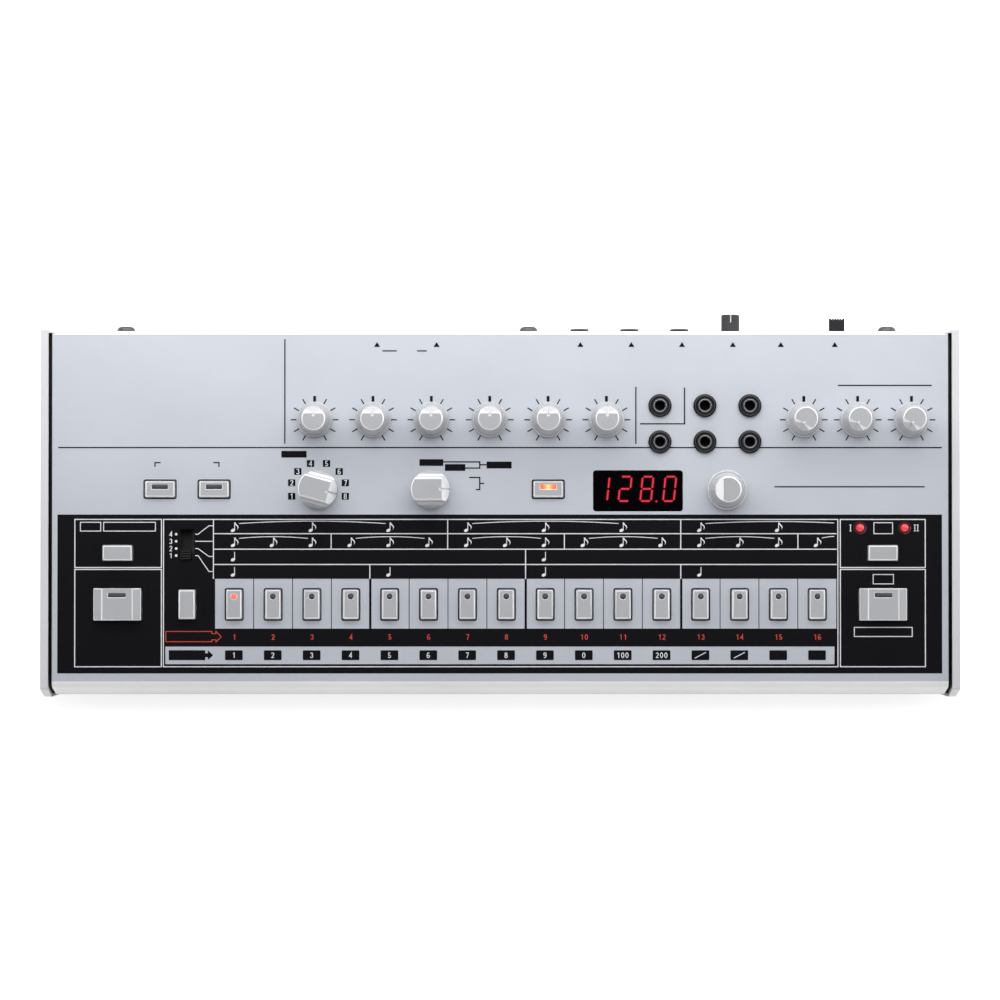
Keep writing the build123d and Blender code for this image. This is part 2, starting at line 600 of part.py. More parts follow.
def battery_door():
    """Door with a round hinge edge, two pins and a finger grip."""
    x0, x1, y0, y1, z0, z1 = door_box()
    flat = box_between(x0, x1, y0 + DOOR_T / 2, y1, z0, z1)
    axis = side_plane(x0, y0 + DOOR_T / 2, (z0 + z1) / 2)
    edge = rod(axis, DOOR_T / 2, 0, x1 - x0)
    pins = rod(axis, PIN_R, -PIN_L, x1 - x0 + PIN_L)
    ribs = [base(BAY_X, y1 - (i + 2) * DOOR_RIB_PITCH) for i in range(DOOR_RIBS)]
    grip = [slab(rib, CELL_PITCH, GROOVE_LINE_W, z0 - PAST, z0 + GROOVE_LINE_W) for rib in ribs]
    return flat + edge + pins - grip


def batteries():
    """Four cells side by side, with a contact plate at each end."""
    length, width, cell_z = bay_size()
    pieces = []
    for i in range(CELLS):
        x = BAY_X + (i - (CELLS - 1) / 2) * CELL_PITCH
        turned = i % 2 == 1
        y0 = BAY_Y0 + CONTACT_T + (SPRING_L if turned else 0.0)
        axis = Plane(origin=(x, SHIFT_Y + y0, cell_z), x_dir=(1, 0, 0), z_dir=(0, 1, 0))
        if turned:
            can = rod(axis, CELL_R, 0, CELL_L - NUB_L)
            nub = rod(axis, CELL_R / 3, CELL_L - NUB_L, CELL_L)
            spring = rod(axis, CELL_R / 2, -SPRING_L, 0)
        else:
            can = rod(axis, CELL_R, NUB_L, CELL_L)
            nub = rod(axis, CELL_R / 3, 0, NUB_L)
            spring = rod(axis, CELL_R / 2, CELL_L, CELL_L + SPRING_L)
        pieces += [can + nub, spring]
    half = width / 2
    for y in (BAY_Y0, BAY_Y0 + length - CONTACT_T):
        pieces.append(box_between(BAY_X - half, BAY_X + half, y, y + CONTACT_T,
                                  cell_z - CELL_R, cell_z + CELL_R))
    return pieces


def cheek(side):
    """End plate with its inner pad under the gutter and its bevelled ears."""
    outer = CASE_W / 2
    inner = outer - CHEEK_T
    plate_radii = [NOSE_R + CHEEK_PROUD, HEEL_R, CHEEK_R, CHEEK_R]
    plate = prism(outline(CHEEK_PROUD), inner, outer, plate_radii)
    filler = prism(outline(), CORE_END, inner, CASE_RADII)
    wide = make_face(FilletPolyline(*outline(CHEEK_PROUD), radius=plate_radii, close=True))
    thin = make_face(FilletPolyline(*outline(-EAR_SINK), radius=CASE_RADII, close=True))
    ear = loft([side_plane(inner) * wide, side_plane(inner - EAR_W) * thin], ruled=True)
    ear -= prism(outline(), inner - EAR_W - PAST, CORE_END, CASE_RADII)
    ear -= box_between(0, CASE_W, 2 * FRONT_Y, 2 * BACK_Y, FOOT_H - MID_Z, FOOT_H)
    v0 = PANEL_FRONT_V - LIP_R / 2
    v1 = PANEL_REAR_V + BACK_R / 2
    gutter_w = GROOVE_W + EAR_W
    gutter = [slab(at(inner - gutter_w / 2, (v0 + v1) / 2), gutter_w, v1 - v0, -GROOVE_D, MID_Z),
              box_between(inner - gutter_w, inner, 2 * FRONT_Y, FRONT_Y + GROOVE_D, PARTING_Z, MID_Z)]
    piece = plate + (filler + ear - gutter)
    return piece if side > 0 else mirror(piece, about=Plane.YZ)


def rear_panel():
    """Plate with the socket holes, between the case halves."""
    plate = slab(rear(0, DECK_BACK - MID_Z), CORE_W, 2 * MID_Z, -REAR_T, 0)
    plate -= box_between(-CORE_W, CORE_W, 0, 2 * BACK_Y, -ABOVE_Z, PARTING_Z)
    through = (-REAR_T - PAST, PAST)
    cuts = [rod(rear(u, CONNECT_N), MIDI_R + SEAT_GAP, *through) for u in MIDI_U]
    cuts += [rod(rear(u, CONNECT_N), REAR_BARREL_R + SEAT_GAP, *through) for u in REAR_JACK_U]
    cuts.append(rod(rear(VOLUME_U, CONNECT_N), VOLUME_SHAFT_R + SHAFT_HOLE_GAP, *through))
    cuts.append(slab(rear(USB_U, USB_N), USB_W + 2 * SEAT_GAP, USB_H + 2 * SEAT_GAP, *through, r=USB_H / 3))
    slot_w = POWER_STEM_W + POWER_TRAVEL + 2 * POWER_SLOT_GAP
    slot = rear(POWER_U - POWER_TRAVEL / 2, CONNECT_N)
    cuts.append(slab(slot, slot_w, POWER_TAB_H + 2 * SLIDE_GAP, *through))
    cuts += [rod(rear(u, REAR_SCREW_N), SCREW_R + 2 * SCREW_GAP, *through) for u in REAR_SCREWS]
    return plate - cuts


def cross_cut(where, r, n0, n1):
    """Cross recess of a screw head."""
    return slab(where, 2 * r, r / 3, n0, n1) + slab(where, r / 3, 2 * r, n0, n1)


def screws():
    """Base screws from below, rear pan heads, and the board screws."""
    out = []
    seat = FOOT_H + SCREW_SINK
    for x, y in BASE_SCREWS:
        spot = base(x, y)
        head = rod(spot, SCREW_HEAD_R, seat - SCREW_HEAD_H, seat)
        head -= cross_cut(spot, 2 * SCREW_HEAD_R / 3, seat - SCREW_HEAD_H - PAST, seat - SCREW_HEAD_H / 2)
        out.append(head + rod(spot, SCREW_R, seat, PILLAR_Z + SCREW_BITE))
    for u in REAR_SCREWS:
        spot = rear(u, REAR_SCREW_N)
        head = rod(spot, REAR_HEAD_R, 0, REAR_HEAD_H)
        head = fillet(head.edges().group_by(OUT_OF_REAR)[-1], REAR_HEAD_ROUND)
        head -= cross_cut(spot, 2 * REAR_HEAD_R / 3, REAR_HEAD_H / 2, REAR_HEAD_H + PAST)
        out.append(head + rod(spot, SCREW_R, 2 * PAST - REAR_T - REAR_BOSS_D, 0))
    for u, v in STUDS:
        spot = at(u, v)
        head = rod(spot, 2 * STUD_SCREW_R, BOARD_BACK - STUD_SCREW_R, BOARD_BACK)
        out.append(head + rod(spot, STUD_SCREW_R, BOARD_BACK, BOARD_TOP + STUD_SCREW_L))
    return out


def feet():
    """Four rubber feet in their seats."""
    pads = [rod(base(x, y), FOOT_R, 0, FOOT_H + FOOT_SEAT) for x, y in FEET]
    return [chamfer(pad.edges().group_by(Axis.Z)[0], FOOT_SEAT) for pad in pads]


# ---------------------------------------------------------------- top panel
def panel_holes():
    """All cut-outs of the top panel, drawn flat."""
    holes = []
    for _, u, v, kind in BUTTONS:
        size = (kind["w"] + 2 * CAP_GAP, kind["d"] + 2 * CAP_GAP)
        holes.append(Pos(u, v) * RectangleRounded(*size, 2 * EDGE_R))
    for _, u, v in LEVELS + EFFECTS + ROTARIES:
        holes.append(Pos(u, v) * Circle(SHAFT_R + SHAFT_HOLE_GAP))
    holes += [Pos(u, v) * Circle(JACK_BARREL_R + SEAT_GAP) for u, v in TRIGGERS]
    holes += [Pos(u, v) * Circle(LED_R + SEAT_GAP) for u, v in LEDS]
    window = RectangleRounded(WINDOW_W + 2 * SEAT_GAP, WINDOW_D + 2 * SEAT_GAP, WINDOW_R + SEAT_GAP)
    holes.append(Pos(WINDOW_U, WINDOW_V) * window)
    holes.append(Pos(SCALE_U, SCALE_V) * Rectangle(SCALE_SLOT_W, SCALE_SLOT_D))
    return holes


def top_panel():
    """Printed sheet with studs for the board welded under it."""
    sheet = Pos(0, PANEL_MID_V) * Rectangle(CORE_W, PANEL_D)
    sheet -= panel_holes()
    plate = PANEL * Pos(0, 0, PANEL_BACK) * extrude(sheet, PANEL_T)
    plate += [rod(at(u, v), STUD_R, BOARD_TOP, PANEL_BACK) for u, v in STUDS]
    tap_r = STUD_SCREW_R + PLUNGER_GAP
    return plate - [rod(at(u, v), tap_r, BOARD_TOP - PAST, BOARD_TOP + STUD_BITE) for u, v in STUDS]


def display():
    """Smoked window with a lip under the panel, and the digit module."""
    spot = at(WINDOW_U, WINDOW_V)
    back = PANEL_BACK - WINDOW_LIP_T
    window = slab(spot, WINDOW_W, WINDOW_D, back, 0, WINDOW_R)
    lip = slab(spot, WINDOW_W + 2 * WINDOW_LIP, WINDOW_D + 2 * WINDOW_LIP, back, PANEL_BACK, WINDOW_R)
    return window + lip, slab(spot, MODULE_W, MODULE_D, BOARD_TOP, back)


def leds():
    out = []
    for u, v in LEDS:
        spot = at(u, v)
        out.append(rod(spot, LED_R, BOARD_TOP, LED_RISE) + spot * Pos(0, 0, LED_RISE) * Sphere(LED_R))
    return out


# ---------------------------------------------------------------- boards and switches
def panel_board():
    """Circuit board parallel to the panel, on its studs."""
    mid = (BOARD_FRONT_V + BOARD_REAR_V) / 2
    sheet = Pos(0, mid) * Rectangle(2 * BOARD_END, BOARD_REAR_V - BOARD_FRONT_V)
    sheet -= [Pos(u, v) * Circle(STUD_SCREW_R + 2 * PLUNGER_GAP) for u, v in STUDS]
    return PANEL * Pos(0, 0, BOARD_BACK) * extrude(sheet, BOARD_T)


def main_board():
    """Board behind the rear panel, with the header to the panel board."""
    middle = at((MAIN_X0 + MAIN_X1) / 2, (MAIN_V0 + MAIN_V1) / 2)
    board = slab(middle, MAIN_X1 - MAIN_X0, MAIN_D, MAIN_BACK_N, MAIN_TOP_N)
    board -= [rod(base(x, y), PILLAR_R + SEAT_GAP, 0, ABOVE_Z) for x, y in BASE_SCREWS]
    spot = at(MAIN_X0 + HEADER_IN + HEADER_W / 2, MAIN_V0 + HEADER_FRONT_IN + HEADER_D / 2)
    return board, slab(spot, HEADER_W, HEADER_D, MAIN_TOP_N, BOARD_BACK - HEADER_GAP)


def tact_switches():
    top = BOARD_TOP + TACT_H
    out = []
    for _, u, v, _ in BUTTONS:
        body = slab(at(u, v), TACT_W, TACT_W, BOARD_TOP, top)
        out.append(body - rod(at(u, v), PLUNGER_R + PLUNGER_GAP, top - TACT_DEPTH, top + PAST))
    return out


def rotary_bodies():
    """Potentiometers, encoder and rotary switches with their bushings."""
    out = []
    sizes = [(spot, POT_W, POT_D) for spot in LEVELS + EFFECTS]
    sizes += [(spot, ROTARY_W, ROTARY_W) for spot in ROTARIES]
    for (_, u, v), w, d in sizes:
        body = slab(at(u, v), w, d, BOARD_TOP, BOARD_TOP + POT_H)
        body += rod(at(u, v), BUSH_R, BOARD_TOP + POT_H, PANEL_BACK)
        out.append(body - rod(at(u, v), SHAFT_R + SHAFT_GAP, BOARD_TOP + POT_FLOOR, PAST))
    body = on_main_board(VOLUME_U, VOLUME_POT_W, VOLUME_POT_W / 2, VOLUME_POT_L)
    bore = rod(rear(VOLUME_U, CONNECT_N), VOLUME_SHAFT_R + SHAFT_GAP, POT_FLOOR - REAR_T - VOLUME_POT_L, PAST)
    out.append(body - bore)
    return out


def on_main_board(u, w, up, length):
    """A block that stands on the main board against the rear panel, up over the socket height."""
    middle = rear(u, CONNECT_N) * Pos(0, (up - CONNECT_UP) / 2, 0)
    return slab(middle, w, up + CONNECT_UP, -REAR_T - length, -REAR_T)


def slide_bodies():
    """Bodies of the scale slide and the power slide."""
    top = BOARD_TOP + SCALE_BODY_H
    scale_w = SCALE_SLOT_W + 2 * SLIDE_WALL
    scale = slab(at(SCALE_U, SCALE_V), scale_w, SCALE_SLOT_D + 2 * SLIDE_WALL, BOARD_TOP, top)
    track_w = SCALE_TAB_W + 2 * SLIDE_GAP
    track_d = SCALE_TAB_D + SCALE_TRAVEL + 2 * SLIDE_GAP
    track = at(SCALE_U + SCALE_OFFSET, SCALE_V)
    scale -= slab(track, track_w, track_d, top - SCALE_BODY_H / 2, top + PAST)
    middle = POWER_U - POWER_TRAVEL / 2
    slot_w = POWER_STEM_W + POWER_TRAVEL + 2 * SLIDE_GAP
    power = on_main_board(middle, slot_w + 2 * SLIDE_WALL, POWER_TAB_H / 2 + SLIDE_WALL, SCALE_BODY_H)
    power -= slab(rear(middle, CONNECT_N), slot_w, POWER_TAB_H / 2 + 2 * SLIDE_GAP,
                  -REAR_T - SCALE_BODY_H / 2, PAST)
    return scale, power


# ---------------------------------------------------------------- sockets
def jack_bore(spot, floor, out):
    """Bore of a mini-jack with the chamfer at its mouth."""
    mouth = Cone(JACK_BORE_R, JACK_BORE_R + JACK_MOUTH, JACK_MOUTH)
    return [rod(spot, JACK_BORE_R, floor, out + PAST), spot * Pos(0, 0, out - JACK_MOUTH / 2) * mouth]


def trigger_jacks():
    """Bodies under the panel; the barrels come up through it."""
    out = []
    for u, v in TRIGGERS:
        body = slab(at(u, v), JACK_BODY_W, JACK_BODY_W, BOARD_TOP, PANEL_BACK)
        body += rod(at(u, v), JACK_BARREL_R, PANEL_BACK, JACK_OUT)
        out.append(body - jack_bore(at(u, v), BOARD_TOP + JACK_FLOOR, JACK_OUT))
    return out


def trigger_nuts():
    """Ring nuts, notched for a spanner."""
    out = []
    for u, v in TRIGGERS:
        spot = at(u, v)
        nut = rod(spot, NUT_R, 0, NUT_H) - rod(spot, JACK_BARREL_R + LENS_GAP, -PAST, NUT_H + PAST)
        out.append(nut - slab(spot, 3 * NUT_R, GROOVE_LINE_W, NUT_H - GROOVE_LINE_W, NUT_H + PAST))
    return out


def rear_jacks():
    """Mini-jacks on the main board, barrels through the rear panel."""
    out = []
    for u in REAR_JACK_U:
        spot = rear(u, CONNECT_N)
        body = on_main_board(u, JACK_BODY_W, JACK_BODY_W / 2, REAR_JACK_L)
        body += rod(spot, REAR_BARREL_R, -REAR_T, REAR_JACK_OUT)
        out.append(body - jack_bore(spot, JACK_FLOOR - REAR_T - REAR_JACK_L, REAR_JACK_OUT))
    return out


def midi_sockets():
    """Five-pin DIN sockets with a ring groove and a key notch."""
    out = []
    floor = MIDI_OUT - MIDI_DEPTH
    top = MIDI_OUT + PAST
    for u in MIDI_U:
        spot = rear(u, CONNECT_N)
        body = on_main_board(u, MIDI_BODY_W, MIDI_BODY_W / 2, MIDI_BODY_L)
        body += rod(spot, MIDI_R, -REAR_T, MIDI_OUT)
        body -= rod(spot, MIDI_GROOVE_R, floor, top) - rod(spot, MIDI_CORE_R, floor, top)
        for i in range(MIDI_PINS):
            pin = spot * Rot(0, 0, 180 + MIDI_PIN_TURN * i) * Pos(MIDI_PIN_CIRCLE, 0, 0)
            body -= rod(pin, MIDI_PIN_R, floor, top)
        body -= slab(spot * Pos(0, MIDI_CORE_R, 0), 2 * MIDI_PIN_R, 2 * MIDI_PIN_R, floor, top)
        out.append(body)
    return out


def usb_socket():
    """Micro-USB shell with its tongue, on the main board."""
    spot = rear(USB_U, USB_N)
    start = -REAR_T - MAIN_GAP - USB_L
    shell = slab(spot, USB_W, USB_H, start, 0, USB_H / 3)
    inner = slab(spot, USB_W - 2 * USB_SHELL, USB_H - 2 * USB_SHELL, start + PAST, PAST, USB_H / 4)
    tongue = slab(spot * Pos(0, USB_H / 8, 0), USB_W / 2, USB_H / 4, start + PAST, -USB_SHELL)
    return shell - inner + tongue


# ---------------------------------------------------------------- moving pieces
def shaft(spot, top):
    """Shaft from the rotary body up into a knob."""
    return rod(spot, SHAFT_R, BOARD_TOP + POT_FLOOR + PLUNGER_GAP, top)


def pointer_cuts(across, reach, face_y, top, low, edge_y):
    """Groove down the slanted face of a knob, ending in a small round."""
    start = face_y - GROOVE_END_R
    line = across * Pos(0, 0, reach - GROOVE_LINE_W / 2)
    sunk = [(start, top), (start, top + PAST), (reach, top + PAST), (reach, low), (edge_y - EDGE_R, low)]
    round_end = rod(Pos(0, start, 0), GROOVE_END_R, top - GROOVE_LINE_W, top + PAST)
    return [cut_through(line, sunk, GROOVE_LINE_W), round_end]


def on_shaft(spot, knob):
    """Sets a knob on its shaft, above the panel."""
    top = KNOB_LIFT + SHAFT_IN
    hole = rod(spot, SHAFT_R + SHAFT_GAP, 0, top)
    return spot * Pos(0, 0, KNOB_LIFT) * knob - hole, shaft(spot, top)


def round_knob(spot, skirt_r, foot_r, cap_r, pointer):
    """Knob with a flat skirt, a slanted face and a pointer groove."""
    profile = [(0, 0), (skirt_r - EDGE_R / 2, 0), (skirt_r, EDGE_R / 2), (skirt_r, SKIRT_H - EDGE_R),
               (skirt_r - EDGE_R, SKIRT_H), (foot_r, SKIRT_H), (cap_r, KNOB_H - EDGE_R),
               (cap_r - EDGE_R, KNOB_H), (0, KNOB_H)]
    knob = revolve(Plane.XZ * make_face(Polyline(*profile, close=True)), Axis.Z)
    reach = 2 * skirt_r
    across = Plane(origin=(-reach, 0, 0), x_dir=(0, 1, 0), z_dir=(1, 0, 0))
    rim = cap_r + FACE_DROP * (foot_r - cap_r) / (KNOB_H - SKIRT_H)
    low = KNOB_H - FACE_DROP * (reach - FACE_Y) / (rim - FACE_Y)
    lean = [(FACE_Y, KNOB_H), (FACE_Y, KNOB_H + PAST), (reach, KNOB_H + PAST), (reach, low)]
    knob -= cut_through(across, lean, 2 * reach)
    if pointer:
        knob -= pointer_cuts(across, reach, FACE_Y, KNOB_H, low, reach)
    return on_shaft(spot, knob)


def bar_knob(spot):
    """Selector knob: a bevelled bar across a round base, with hollow flanks down to a ledge."""
    blank = Cylinder(SELECT_R, SELECT_H, align=(Align.CENTER, Align.CENTER, Align.MIN))
    knob = chamfer(blank.edges().group_by(Axis.Z)[-1], EDGE_R)
    half = SELECT_BAR_W / 2
    reach = 2 * SELECT_R
    over = SELECT_H + PAST
    front = Plane(origin=(0, reach, 0), x_dir=(1, 0, 0), z_dir=(0, -1, 0))
    for side in (-1, 1):
        flank = [(half - SELECT_BAND, SELECT_H), (half, SELECT_H - SELECT_BAND), *SELECT_SHELF,
                 (SELECT_R, SELECT_EDGE_H), (reach, SELECT_EDGE_H), (reach, over),
                 (half - SELECT_BAND, over)]
        knob -= cut_through(front, [(side * x, z) for x, z in flank], 2 * reach)
    across = Plane(origin=(-reach, 0, 0), x_dir=(0, 1, 0), z_dir=(1, 0, 0))
    lean = [(SELECT_FACE_Y, SELECT_H), (SELECT_FACE_Y, over), (reach, over), (reach, SELECT_EDGE_H),
            (SELECT_R, SELECT_EDGE_H)]
    knob -= cut_through(across, lean, 2 * reach)
    knob -= pointer_cuts(across, reach, SELECT_FACE_Y, SELECT_H, SELECT_EDGE_H, SELECT_R)
    return on_shaft(spot, knob)


def volume_knob():
    """Slim ribbed knob behind the machine, on its own shaft."""
    spot = rear(VOLUME_U, CONNECT_N)
    end = VOLUME_LIFT + VOLUME_L
    knob = rod(spot, VOLUME_R, VOLUME_LIFT, end)
    knob = chamfer(knob.edges().group_by(OUT_OF_REAR)[-1], EDGE_R)
    for i in range(VOLUME_RIBS):
        rib = spot * Rot(0, 0, 360 / VOLUME_RIBS * (i + 1 / 2)) * Pos(0, VOLUME_R, 0)
        knob -= slab(rib, VOLUME_RIB_W, VOLUME_RIB_W, VOLUME_LIFT + 2 * EDGE_R, end - 2 * EDGE_R)
    mark = spot * Pos(0, VOLUME_R, 0)
    knob -= slab(mark, GROOVE_LINE_W, GROOVE_LINE_W, end - VOLUME_MARK_L, end + PAST)
    seat = VOLUME_LIFT + VOLUME_L / 2
    knob -= rod(spot, VOLUME_SHAFT_R + SHAFT_GAP, 0, seat)
    start = POT_FLOOR + PLUNGER_GAP - REAR_T - VOLUME_POT_L
    return knob, rod(spot, VOLUME_SHAFT_R, start, seat)


def wing_cuts(spot, w, d, rise, wing):
    """What comes off a wide cap to leave a lowered wing at each side."""
    front = Plane(origin=(0, d, 0), x_dir=(1, 0, 0), z_dir=(0, -1, 0))
    over = rise + PAST
    low = rise - WING_DROP
    cuts = []
    for side in (-1, 1):
        start = side * (w / 2 - wing)
        slope = [(start, rise), (start, over), (side * w, over), (side * w, low), (side * w / 2, low)]
        cuts.append(spot * cut_through(front, slope, 2 * d))
    return cuts


def button(spot, kind):
    """Cap with a flange under the panel, a plunger, and a lens if it has one."""
    w, d, rise = kind["w"], kind["d"], kind["rise"]
    foot = PANEL_BACK - FLANGE_DROP - FLANGE_T
    cap = slab(spot, w, d, foot, rise, EDGE_R)
    if "wing" in kind:
        cap -= wing_cuts(spot, w, d, rise, kind["wing"])
    else:
        top = cap.faces().sort_by(Axis(PANEL.origin, PANEL.z_dir))[-1]
        cap = chamfer(top.edges(), EDGE_R)
    cap += slab(spot, w + 2 * FLANGE, d + 2 * FLANGE, foot, foot + FLANGE_T)
    pieces = [rod(spot, PLUNGER_R, BOARD_TOP + TACT_H - PLUNGER_IN, foot)]
    sunk = rise - LENS_T
    if "dot" in kind:
        r, up = kind["dot"]
        place = spot * Pos(0, up, 0)
        cap -= rod(place, r + LENS_GAP, sunk, rise + PAST)
        pieces.append(rod(place, r, sunk, rise))
    if "bar" in kind:
        bar_w, bar_d, up = kind["bar"]
        place = spot * Pos(0, up, 0)
        cap -= slab(place, bar_w + 2 * LENS_GAP, bar_d + 2 * LENS_GAP, sunk, rise + PAST)
        pieces.append(slab(place, bar_w, bar_d, sunk, rise))
    return [cap] + pieces


def ribs(spot, count, w, d, n0, n1):
    """Finger grooves side by side along the local y."""
    return [slab(spot * Pos(0, (i - (count - 1) / 2) * 2 * d, 0), w, d, n0, n1) for i in range(count)]


def scale_slide():
    """Ribbed tab standing in the slot, at its lowest position."""
    spot = at(SCALE_U + SCALE_OFFSET, SCALE_V - SCALE_TRAVEL / 2)
    bottom = BOARD_TOP + SCALE_BODY_H / 2 + SLIDE_GAP
    tab = slab(spot, SCALE_TAB_W, SCALE_TAB_D, bottom, SCALE_TAB_UP)
    return tab - ribs(spot, 3, 2 * SCALE_TAB_W, GROOVE_LINE_W, SCALE_TAB_UP - GROOVE_LINE_W, MID_Z)


def power_slide():
    """Toothed tab on a stem that runs in the rear slot, at its +X end."""
    spot = rear(POWER_U, CONNECT_N)
    stem_start = SLIDE_GAP - REAR_T - SCALE_BODY_H / 2
    stem = slab(spot, POWER_STEM_W, POWER_TAB_H / 2 + SLIDE_GAP, stem_start, VOLUME_LIFT)
    tab = slab(spot, POWER_TAB_W, POWER_TAB_H, VOLUME_LIFT, POWER_OUT)
    grip = ribs(spot * Rot(0, 0, 90), POWER_TEETH, 2 * POWER_TAB_H, GROOVE_LINE_W,
                POWER_OUT - POWER_TOOTH_D, POWER_OUT + PAST)
    return stem + (tab - grip)


def main():
    os.makedirs("parts", exist_ok=True)
    save("upper_case", upper_case())
    save("lower_case", lower_case())
    save("left_cheek", cheek(-1))
    save("right_cheek", cheek(1))
    save("rear_panel", rear_panel())
    save("top_panel", top_panel())
    save("rubber_feet", *feet())
    save("case_screws", *screws())
    save("batteries", *batteries())
    window, module = display()
    save("display_window", window)
    save("display_module", module)
    save("group_leds", *leds())
    save("panel_board", panel_board())
    save("main_board", *main_board())
    save("rotary_bodies", *rotary_bodies())
    save("switch_bodies", *tact_switches(), *slide_bodies())
    save("mini_jacks", *trigger_jacks(), *rear_jacks())
    save("jack_nuts", *trigger_nuts())
    save("midi_sockets", *midi_sockets())
    save("usb_socket", usb_socket())
    for name, u, v in LEVELS:
        save(name, *round_knob(at(u, v), SKIRT_R, CAP_FOOT_R, CAP_R, True))
    for name, u, v in EFFECTS:
        save(name, *round_knob(at(u, v, EFFECT_TURN), SKIRT_R, CAP_FOOT_R, CAP_R, True))
    value = at(VALUE_U, VALUE_V, VALUE_TURN)
    save("value_knob", *round_knob(value, VALUE_SKIRT_R, VALUE_FOOT_R, VALUE_CAP_R, False))
    save("instrument_selector", *bar_knob(at(INSTRUMENT_U, SELECT_V, INSTRUMENT_TURN)))
    save("mode_selector", *bar_knob(at(MODE_U, SELECT_V, MODE_TURN)))
    save("volume_knob", *volume_knob())
    for name, u, v, kind in BUTTONS:
        save(name, *button(at(u, v), kind))
    save("scale_slide", scale_slide())
    save("power_slide", power_slide())
    save("battery_door", battery_door())


main()
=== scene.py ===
# %% [markdown]
# # Dressing a desktop drum machine
# The construction of this machine, with every knob, button and board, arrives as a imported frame
# whose pieces already sit in the right place. What is missing is everything that the eye reads:
# paint, ink, moulded plastic, lit segments, soft edges. In Blender such a frame can be dressed by
# giving its meshes new materials, by laying thin printed shapes on top, or by standing a finer
# mesh in for a piece. All three are used here, whichever is the simplest for each surface.

# %% Load the construction
import json
import math

import bmesh
import bpy
from mathutils import Matrix, Vector


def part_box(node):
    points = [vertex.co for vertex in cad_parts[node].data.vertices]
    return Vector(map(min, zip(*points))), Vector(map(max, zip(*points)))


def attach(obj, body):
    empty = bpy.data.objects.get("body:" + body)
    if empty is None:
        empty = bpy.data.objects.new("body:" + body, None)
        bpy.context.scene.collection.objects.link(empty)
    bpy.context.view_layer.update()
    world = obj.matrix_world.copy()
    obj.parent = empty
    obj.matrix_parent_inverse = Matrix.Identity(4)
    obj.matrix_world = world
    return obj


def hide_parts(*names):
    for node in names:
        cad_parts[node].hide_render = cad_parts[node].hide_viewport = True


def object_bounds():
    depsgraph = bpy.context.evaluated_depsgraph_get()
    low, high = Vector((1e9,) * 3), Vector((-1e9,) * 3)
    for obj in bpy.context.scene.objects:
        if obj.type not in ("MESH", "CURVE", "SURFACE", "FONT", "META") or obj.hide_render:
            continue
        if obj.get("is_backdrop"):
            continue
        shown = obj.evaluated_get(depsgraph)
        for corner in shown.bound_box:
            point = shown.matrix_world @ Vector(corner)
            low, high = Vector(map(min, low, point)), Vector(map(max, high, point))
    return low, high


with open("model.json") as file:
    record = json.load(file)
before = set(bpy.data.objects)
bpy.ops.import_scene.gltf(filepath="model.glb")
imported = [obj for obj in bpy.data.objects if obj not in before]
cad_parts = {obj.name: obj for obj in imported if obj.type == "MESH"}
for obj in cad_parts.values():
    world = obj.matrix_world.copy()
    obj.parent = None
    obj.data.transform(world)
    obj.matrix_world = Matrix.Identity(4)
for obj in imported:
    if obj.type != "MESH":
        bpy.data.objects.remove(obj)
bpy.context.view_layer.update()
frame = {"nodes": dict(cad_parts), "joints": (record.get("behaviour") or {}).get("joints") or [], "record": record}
nodes = frame["nodes"]
joints = {joint["name"]: joint for joint in frame["joints"]}
slots = {row["node"]: row["material_slot"] for row in frame["record"]["subparts"]}
bodies = frame["record"]["behaviour"]["bodies"]
body_of_node = {node: body for body, group in bodies.items() for node in group}

# %% [markdown]
# ## A ruler on the sloping panel
# Nearly everything that is printed or pressed lives on the panel, which leans towards the player.
# Working out world coordinates for each mark would be tiring and easy to get wrong. It is simpler
# to build one matrix whose X runs to the right, Y up the slope and Z out of the panel, and to
# draw flat. A knob's joint tells where the panel is: its axis is the panel's normal.

# %% Panel axes
MM = 0.001
LEVEL_U0, LEVEL_V, LEVEL_COUNT = -70.8, 32.5, 6

first = joints["level_knob_1_turn"]
normal = Vector(first["axis"]).normalized()
right = Vector((1, 0, 0))
up_slope = normal.cross(right)
panel_origin = Vector(first["pos_m"]) - right * LEVEL_U0 * MM - up_slope * LEVEL_V * MM
panel = Matrix.Translation(panel_origin) @ Matrix((right, up_slope, normal)).transposed().to_4x4()


def on_panel(u, v, n=0.0):
    """World point of a place on the panel, given in millimetres."""
    return panel @ Vector((u * MM, v * MM, n * MM))


print("panel leans", round(math.degrees(math.acos(normal.z)), 2), "degrees")

# %% [markdown]
# ## Camera
# A control panel shows best from far away, through a long lens and square to the panel, because
# its rows then stay parallel. A near camera would need less room but would spread them. So the
# camera stands off along the panel's normal and looks almost straight down on it, with the
# slope's own direction as its up.

# %% Camera
STAND_OFF = 1700.0
STAND_U, STAND_V = -3.9, -28.6
LOOK_U, LOOK_V = -0.1, 1.9
PIXELS_PER_MM = 2.623
FRAME_PIXELS = 1000
SENSOR_W, FAR_CLIP = 36, 20

camera_data = bpy.data.cameras.new("panel_camera")
camera_data.sensor_width = SENSOR_W
camera_data.lens = SENSOR_W * PIXELS_PER_MM * STAND_OFF / FRAME_PIXELS
camera_data.clip_end = FAR_CLIP
camera = bpy.data.objects.new("panel_camera", camera_data)
bpy.context.scene.collection.objects.link(camera)
eye = on_panel(STAND_U, STAND_V, STAND_OFF)
back = (eye - on_panel(LOOK_U, LOOK_V)).normalized()
side = up_slope.cross(back).normalized()
camera.matrix_world = Matrix.Translation(eye) @ Matrix((side, back.cross(side), back)).transposed().to_4x4()
bpy.context.scene.camera = camera
bpy.context.scene.view_settings.view_transform = "Standard"
print("lens", round(camera_data.lens, 1), "mm")

